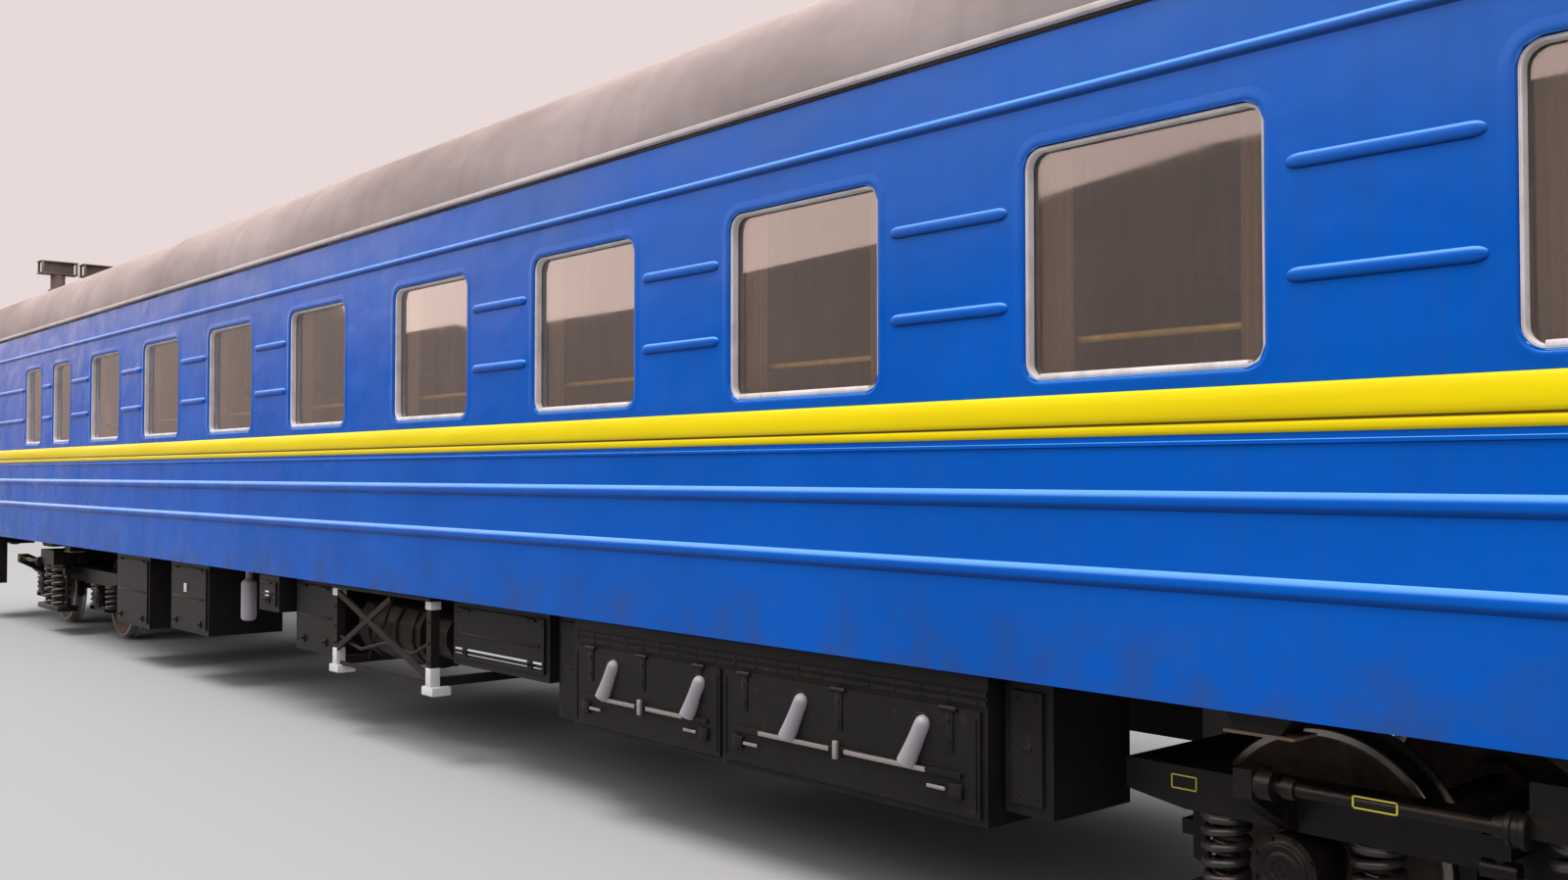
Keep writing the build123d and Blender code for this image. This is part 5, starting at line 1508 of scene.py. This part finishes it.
def cushion(bm, low, high, crown=0.012, steps=(10, 5)):
    """A closed pad: rounded sides, a crowned top and bottom, sides drawn in between its corners."""
    lows, highs = Vector(low), Vector(high)
    middle, half = (lows + highs) / 2, (highs - lows) / 2
    long_steps, round_steps = steps
    rows = []
    levels = [-1 + 2 * k / round_steps for k in range(round_steps + 1)]
    outline = []
    for start, stop in (((-1, -1), (1, -1)), ((1, -1), (1, 1)), ((1, 1), (-1, 1)), ((-1, 1), (-1, -1))):
        for n in range(long_steps):
            t = n / long_steps
            outline.append((start[0] + (stop[0] - start[0]) * t, start[1] + (stop[1] - start[1]) * t))
    for level in levels:
        bulge = math.sqrt(max(0.0, 1 - level ** 2))
        inset = (1 - bulge) * 0.022 + 0.004
        ring = []
        for u, v in outline:
            pull = 0.006 * (1 - min(abs(u), abs(v)) ** 2) * (1 if max(abs(u), abs(v)) > 0.999 else 0)
            x = middle.x + u * (half.x - inset - (pull if abs(u) > 0.999 else 0))
            y = middle.y + v * (half.y - inset - (pull if abs(v) > 0.999 else 0))
            ring.append(bm.verts.new((x, y, middle.z + level * (half.z - crown))))
        rows.append(ring)
    skin(bm, rows)
    count = len(outline)
    for ring, way in ((rows[0], -1), (rows[-1], 1)):
        inner = ring
        for shrink in (0.86, 0.6, 0.3):
            lift = way * crown * (1 - shrink ** 2)
            edge_z = middle.z + way * (half.z - crown)
            next_ring = []
            for u, v in outline:
                x = middle.x + u * (half.x - 0.026) * shrink
                y = middle.y + v * (half.y - 0.026) * shrink
                next_ring.append(bm.verts.new((x, y, edge_z + lift)))
            skin(bm, [inner, next_ring])
            inner = next_ring
        centre = bm.verts.new((middle.x, middle.y, middle.z + way * half.z))
        for n in range(count):
            bm.faces.new((inner[n], inner[(n + 1) % count], centre))


berth_width, berth_thickness = 0.6, 0.09
bm = bmesh.new()
piping = bmesh.new()
for n in range(9):
    start = first_partition + window_pitch * n + 0.015
    stop = start + 1.765
    for near, far in ((start, start + berth_width), (stop - berth_width, stop)):
        left, right = near + 0.016, far - 0.016
        for top in (1.760, 2.760):
            cushion(bm, (near, -0.6205, top - berth_thickness), (far, 1.3925, top))
            seam_line = [(left, -0.604), (right, -0.604), (right, 1.376), (left, 1.376)]
            bent_rod(piping, [(x, y, top - 0.014) for x, y in seam_line], 0.0045, 6, closed=True)
cushions = piece("berth_cushions", bm, berth_hide, sharp=60)
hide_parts("berths")
piped = piece("berth_piping", piping, berth_hide, sharp=60)

# Curtains: short woven cloths gathered on a rod above each wide window and drawn to its sides.
# Each is one sheet, hung from the rod, so its folds open a little towards the hem.
cloth_effect, given, put = effect(
    "curtain weave",
    [
        ("Thread", "Color", (0.34, 0.24, 0.14, 1)),
        ("Shadow", "Color", (0.20, 0.13, 0.075, 1)),
        ("Thread Scale", "Float", 420.0),
    ],
    [("Color", "Color"), ("Roughness", "Float"), ("Height", "Float")],
)
cloth_place = cloth_effect.nodes.new("ShaderNodeTexCoord")
yarns = []
for direction in ("X", "Z"):
    yarn = cloth_effect.nodes.new("ShaderNodeTexWave")
    yarn.wave_type = "BANDS"
    yarn.bands_direction = direction
    feed(
        cloth_effect, yarn, {"Vector": cloth_place.outputs["Object"], "Scale": given.outputs["Thread Scale"]}
    )
    yarns.append(yarn.outputs["Fac"])
threads = maths(cloth_effect, "MULTIPLY", yarns[0], yarns[1])
faded = spread(cloth_effect, noise(cloth_effect, 4.0, 3.0), 0.3, 0.7, 0.0, 0.6)
feed(
    cloth_effect,
    put,
    {
        "Color": tint(
            cloth_effect,
            maths(cloth_effect, "MULTIPLY", threads, faded),
            given.outputs["Thread"],
            given.outputs["Shadow"],
        ),
        "Roughness": spread(cloth_effect, threads, 0.0, 1.0, 0.95, 0.80),
        "Height": threads,
    },
)
curtain_cloth = finish("curtain cloth", cloth_effect, relief=0.0004, Sheen_Weight=0.3)
curtain_low, curtain_high, curtain_width = 2.210, 3.214, 0.200
rod_half, rod_height = 0.552, 3.219
across, down = 64, 14
for name, side, _ in walls:
    rod_y = side * 1.4035
    bm = bmesh.new()
    for x in wide_places:
        bent_rod(bm, [(x - rod_half, rod_y, rod_height), (x + rod_half, rod_y, rod_height)], 0.0045, 10)
        for end in (-1, 1):
            holder = x + end * 0.548
            slab(bm, (holder - 0.008, side * 1.4150, 3.211), (holder + 0.008, side * 1.3985, 3.227), 0.002)
    rods = piece(f"curtain_rods_{name}", bm, bright_steel)
    made = []
    for n, middle in enumerate(wide_places):
        for end in (-1, 1):
            start = middle + end * rod_half
            folds = 4.5 + 0.5 * ((n + (end > 0)) % 3)
            bm = bmesh.new()
            rows = []
            for j in range(down + 1):
                fall = j / down
                z = curtain_high - (curtain_high - curtain_low) * fall
                depth = 0.0058 + 0.0022 * fall
                row = []
                for i in range(across + 1):
                    t = i / across
                    x = start - end * curtain_width * (t ** (1.0 + 0.06 * math.sin(3 * fall + n)))
                    phase = 2 * math.pi * folds * t + 0.5 * math.sin(2.2 * fall + 1.7 * n)
                    y = rod_y + depth * math.sin(phase) + 0.001 * math.sin(9 * fall + 5 * t)
                    row.append(bm.verts.new((x, y, z)))
                rows.append(row)
            skin(bm, rows, closed=False)
            curtain = piece(
                f"curtain_{name}_{n + 1}_{'left' if end < 0 else 'right'}", bm, curtain_cloth, sharp=80
            )
            hem = curtain.modifiers.new("thickness", "SOLIDIFY")
            hem.thickness = 0.0008
            made.append(curtain)
    for curtain in made:
        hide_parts(f"curtains_{name}")

# Doors: flush steel leaves, each with a window set in rubber. A lever handle on its lock plate and
# a kick plate are plated and screwed on.
door_ends = [("left", -1), ("right", 1)]
corners = [(end, side) for _, end in door_ends for _, side, _ in walls]
leaf_face = 1.5155
end_leaf_face = 11.770
door_near, door_far = 10.80, 11.504
door_window = rounded_loop(0.40, 0.63, 0.06)
door_window_height = 2.673
handle_height = 2.30
lock_low, lock_high = 2.20, 2.36
for end_name, end in door_ends:
    for side_name, side, _ in walls:
        leaf = f"door_{end_name}_{side_name}"
        seal = bmesh.new()
        fittings = bmesh.new()
        near, far = end * door_near, end * door_far
        middle = (near + far) / 2
        moulding(
            seal,
            door_window,
            [
                (0.018, -0.001), (0.018, 0.004), (0.012, 0.008), (0.002, 0.008), (-0.012, 0.004),
                (-0.018, -0.004), (-0.018, -0.0195), (-0.001, -0.0195),
            ],
            lambda x, proud, z, at=middle, s=side: (x + at, s * (leaf_face + proud), z + door_window_height),
        )
        made = piece(f"{leaf}_seal", seal, seal_rubber, leaf, sharp=60)
        face = side * leaf_face
        out = (0, side, 0)
        knob_x = far - end * 0.075
        handle = [(knob_x, face), (knob_x, face + side * 0.009), (knob_x - end * 0.09, face + side * 0.010)]
        bent_rod(fittings, [(x, y, handle_height) for x, y in handle], 0.0045, 12)
        low = (knob_x - 0.030, face - side * 0.001, lock_low)
        slab(fittings, low, (knob_x + 0.030, face + side * 0.004, lock_high), 0.004)
        pin(fittings, 0, 0.006, 0.010, (knob_x, face + side * 0.003, 2.235), out, 18)
        low = (near + end * 0.05, face - side * 0.001, 1.42)
        slab(fittings, low, (far - end * 0.04, face + side * 0.003, 1.62), 0.002)
        for z in (1.44, 1.60):
            for k in range(5):
                bolt(fittings, (near + end * (0.08 + k * 0.14), face + side * 0.0025, z), out, 0.005, 0.003)
        made = piece(f"{leaf}_fittings", fittings, bright_steel, leaf)
for end_name, end in door_ends:
    leaf = f"end_door_{end_name}"
    seal = bmesh.new()
    fittings = bmesh.new()
    face = end * end_leaf_face
    moulding(
        seal,
        door_window,
        [
            (0.018, -0.001), (0.018, 0.004), (0.012, 0.007), (0.002, 0.007), (-0.012, 0.003),
            (-0.018, -0.004), (-0.018, -0.0195), (-0.001, -0.0195),
        ],
        lambda y, proud, z, e=end: (e * (end_leaf_face + proud), y + 0.002, z + door_window_height),
    )
    made = piece(f"{leaf}_seal", seal, seal_rubber, leaf, sharp=60)
    slab(fittings, (face - end * 0.001, 0.23, lock_low), (face + end * 0.004, 0.29, lock_high), 0.004)
    handle = [(face, 0.26), (face + end * 0.022, 0.26), (face + end * 0.024, 0.16)]
    bent_rod(fittings, [(x, y, handle_height + 0.01) for x, y in handle], 0.006, 12)
    slab(fittings, (face - end * 0.001, -0.29, 1.42), (face + end * 0.003, 0.30, 1.64), 0.002)
    made = piece(f"{leaf}_fittings", fittings, bright_steel, leaf)

# Grab rails beside the side doors: bent round bar on cast feet, painted yellow and screwed to the
# wall. On each side of a door a short one stands low for the climb and a long one above it.
bm = bmesh.new()
for end, side in corners:
    y = side * wall_face
    for x in (end * 10.755, end * 11.600):
        for low, high in ((1.52, 1.96), (2.29, 3.02)):
            # Columns: proud of the wall, height
            bar = [(-0.002, low), (0.012, low + 0.002), (0.016, low + 0.03), (0.016, high)]
            bent_rod(bm, [(x, y + side * proud, z) for proud, z in bar], 0.0055, 12)
            for z in (low, high - 0.005):
                boss(bm, 0.018, 0.004, 0.007, 0.012, (x, y, z), (0, side, 0), 20)
grab_rails = piece("door_grab_rails", bm, belt_yellow)

# Gangways: a rubberised fabric bellows stitched in folds round each end doorway, closed by a
# welded steel face frame with a row of bolts up each side, which leans on the next coach's.
bellows_rubber = finish(
    "bellows rubber",
    rubber_effect,
    {"Rubber": (0.028, 0.027, 0.028, 1), "Dirt": (0.10, 0.085, 0.07, 1), "Dirt Amount": 0.55, "Grain": 90.0},
    relief=0.001,
)
end_face = 11.80
frame_face = 12.2485
gangway_foot = 1.281
passage_half, passage_top = 0.43, 3.358
folds = 5
# Columns: distance from the end wall, push outward
fold_section = []
for n in range(folds * 8 + 1):
    t = n / (folds * 8)
    fold_section.append((0.4485 * t * 0.90, -0.030 * (0.5 - 0.5 * math.cos(2 * math.pi * folds * t)) - 0.001))
frame_back = end_face + fold_section[-1][0]
# The arch runs up one side, over the top and down the other; its foot stands at floor level.
arch = [(y, z + 2.419, ny, nz) for y, z, ny, nz in rounded_loop(1.25, 2.278, 0.21, 8)]
top = [p for p in arch if p[1] > 2.5]
outer = [(0.625, gangway_foot, 1, 0)] + top + [(-0.625, gangway_foot, -1, 0)]
inner = [(max(-passage_half, min(passage_half, y)), passage_top) for y, _, _, _ in outer]
inner[0] = (passage_half, gangway_foot)
inner[-1] = (-passage_half, gangway_foot)
inner[1] = (passage_half, passage_top)
inner[-2] = (-passage_half, passage_top)
for end_name, end in door_ends:
    bm = bmesh.new()
    rings = []
    for along, push in fold_section:
        x = end * (end_face + along)
        rings.append([bm.verts.new((x, y + ny * push, z + nz * push)) for y, z, ny, nz in outer])
    back = [bm.verts.new((end * end_face, y, z)) for y, z in inner]
    front = [bm.verts.new((end * frame_back, y, z)) for y, z in inner]
    for strip in (rings, (rings[0], back), (rings[-1], front), (back, front)):
        skin(bm, strip, closed=False)
    for k in (0, -1):
        bm.faces.new([ring[k] for ring in rings] + [front[k], back[k]])
    bmesh.ops.remove_doubles(bm, verts=bm.verts, dist=1e-5)
    bellows = piece(f"gangway_{end_name}_folds", bm, bellows_rubber, sharp=50)
    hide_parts("gangway_bellows")
    bm = bmesh.new()
    back, front = end * frame_back, end * frame_face
    slab(bm, (back, -0.625, gangway_foot), (front, -passage_half, 3.20), 0.012, 3)
    slab(bm, (back, passage_half, gangway_foot), (front, 0.625, 3.20), 0.012, 3)
    slab(bm, (back, -0.555, passage_top), (front, 0.555, 3.556), 0.012, 3)
    for side in (-1, 1):
        slab(bm, (back, side * passage_half, 3.19), (front, side * 0.60, 3.40), 0.012, 3)
        for k in range(9):
            bolt(bm, (end * 12.2405, side * 0.60, 1.40 + 0.22 * k), (end, 0, 0), 0.010, 0.008)
    frame_piece = piece(f"gangway_{end_name}_face_frame", bm, frame_black)
    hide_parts("gangway_bellows")
dress(worn_edge, "fall_plates")

# Couplers: heavy cast steel, left rough. The CAD head stays; a locking shaft with its cam is
# added, and the forged release lever that leads from it to two brackets on the headstock.
cast_rough = finish(
    "rough casting",
    dusty_effect,
    {"Paint": (0.045, 0.035, 0.030, 1), "Rust Amount": 0.75, "Dust Amount": 0.4, "Shine": 0.6},
    relief=0.004,
)
dress(cast_rough, "couplers")
shaft_x, shaft_z = 11.96, 1.245
lever = [
    (shaft_x, -0.10, shaft_z), (shaft_x, -0.17, 1.235), (11.88, -0.24, 1.20), (11.83, -0.34, 1.17),
    (11.815, -0.90, 1.17),
]
bm = bmesh.new()
for _, end in door_ends:
    pin(bm, -0.10, 0.10, 0.017, (end * shaft_x, 0, shaft_z), (0, 1, 0), 18)
    slab(bm, (end * (shaft_x - 0.02), -0.012, 1.225), (end * (shaft_x + 0.02), 0.012, 1.275), 0.004)
    bent_rod(bm, [(end * x, end * y, z) for x, y, z in lever], 0.011, 12)
    for y in (-0.32, -0.86):
        slab(bm, (end * end_face, end * y - 0.02, 1.13), (end * 11.83, end * y + 0.02, 1.21), 0.004)
levers = piece("coupler_release_levers", bm, frame_black)

# Buffers: turned steel. A barrel bolted to the headstock by a square flange, a sliding rod, and
# a broad head, slightly domed and polished by rubbing.
buffer_y, buffer_z = 0.88, 1.088
# Columns: distance from the headstock, radius
barrel_section = [
    (0.0, 0), (0.0, 0.118), (0.045, 0.115), (0.06, 0.105), (0.165, 0.103), (0.172, 0.108), (0.188, 0.108),
    (0.19, 0.100), (0.19, 0),
]
rod_section = [(0.18, 0), (0.18, 0.062), (0.40, 0.062), (0.415, 0.080), (0.4345, 0.125), (0.4345, 0)]
head_section = [
    (0.434, 0), (0.434, 0.178), (0.438, 0.184), (0.446, 0.185), (0.456, 0.184), (0.461, 0.178),
    (0.464, 0.150), (0.467, 0.08), (0.4685, 0),
]
bm = bmesh.new()
heads = bmesh.new()
for end, side in corners:
    y = side * buffer_y
    centre = (end * end_face, y, buffer_z)
    out = (end, 0, 0)
    slab(bm, (end * end_face, y - 0.15, buffer_z - 0.15), (end * 11.824, y + 0.15, buffer_z + 0.15), 0.006)
    for dy in (-0.115, 0.115):
        for dz in (-0.115, 0.115):
            bolt(bm, (end * 11.8235, y + dy, buffer_z + dz), out, 0.015, 0.014)
    turned(bm, barrel_section, centre, out, 44)
    turned(bm, rod_section, centre, out, 40)
    turned(heads, head_section, centre, out, 56)
barrels = piece("buffer_barrels", bm, frame_black)
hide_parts("buffers")
buffer_heads = piece("buffer_heads", heads, worn_edge)
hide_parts("buffers")

# Tail lamps: pressed steel housings screwed to the end walls high on each side. Each holds a red
# lens, moulded in rings, under a screwed rim.
lamp_y, lamp_z = 1.13, 3.468
housing_section = [
    (0, 0), (0, 0.060), (0.050, 0.060), (0.056, 0.057), (0.056, 0.048), (0.050, 0.046), (0.050, 0),
]
lens = [(0.050, 0), (0.050, 0.047)]
for k in range(7):
    radius = 0.045 * (1 - k / 7)
    lens += [(0.058 + 0.010 * (k / 7), radius), (0.0605 + 0.010 * (k / 7), radius - 0.003)]
lens.append((0.070, 0))
bm = bmesh.new()
lenses = bmesh.new()
for end, side in corners:
    centre = (end * end_face, side * lamp_y, lamp_z)
    out = (end, 0, 0)
    turned(bm, housing_section, centre, out, 40)
    for k in range(3):
        angle = 2 * math.pi * k / 3 + 0.5
        y, z = side * lamp_y + 0.053 * math.cos(angle), lamp_z + 0.053 * math.sin(angle)
        bolt(bm, (end * 11.8555, y, z), out, 0.0035, 0.003)
    turned(lenses, lens, centre, out, 40)
housings = piece("tail_lamp_housings", bm, frame_black)
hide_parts("tail_lamps")
red_lens = finish(
    "red lens",
    pane_effect,
    {"Tint": (0.50, 0.012, 0.010, 1), "Dust": (0.30, 0.05, 0.04, 1), "Dust Amount": 0.3},
    Transmission_Weight=0.35,
    IOR=1.49,
)
lens_piece = piece("tail_lamp_lenses", lenses, red_lens)
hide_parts("tail_lamps")

# Jack pads: machined steel blocks welded under the sole bars. Each is faced with a plain wear
# plate, held by four screws and dusty brown.
pad_brown = finish(
    "dusty wear plate",
    dusty_effect,
    {"Paint": (0.16, 0.11, 0.075, 1), "Dust": (0.24, 0.17, 0.12, 1), "Dust Amount": 0.7, "Shine": 0.6},
    relief=0.002,
)
bm = bmesh.new()
for end, side in corners:
    x, y = end * 7.370, side * 1.3405
    slab(bm, (x - 0.132, y - 0.077, 1.0205), (x + 0.132, y + 0.077, 1.0325), 0.003)
    for dx in (-0.105, 0.105):
        for dy in (-0.05, 0.05):
            bolt(bm, (x + dx, y + dy, 1.0207), (0, 0, -1), 0.009, 0.005)
pads = piece("jack_pad_plates", bm, pad_brown)

# Steps: open treads of chequered steel plate, welded between two cheeks under each side door. A
# nosing along each front edge and the raised studs are worn bright.
bm = bmesh.new()
for end, side in corners:
    for height in (0.498, 0.773, 1.043):
        low = (end * 10.805, side * 1.5225, height - 0.003)
        slab(bm, low, (end * 11.495, side * 1.497, height + 0.003), 0.001)
        for k in range(10):
            for row in range(3):
                x, y = end * (10.85 + 0.066 * k + 0.033 * (row % 2)), side * (1.33 + 0.055 * row)
                slab(
                    bm,
                    (x - 0.014, y - 0.004, height - 0.001),
                    (x + 0.014, y + 0.004, height + 0.0022),
                    0.001,
                    1,
                )
treads = piece("step_nosings", bm, worn_edge)
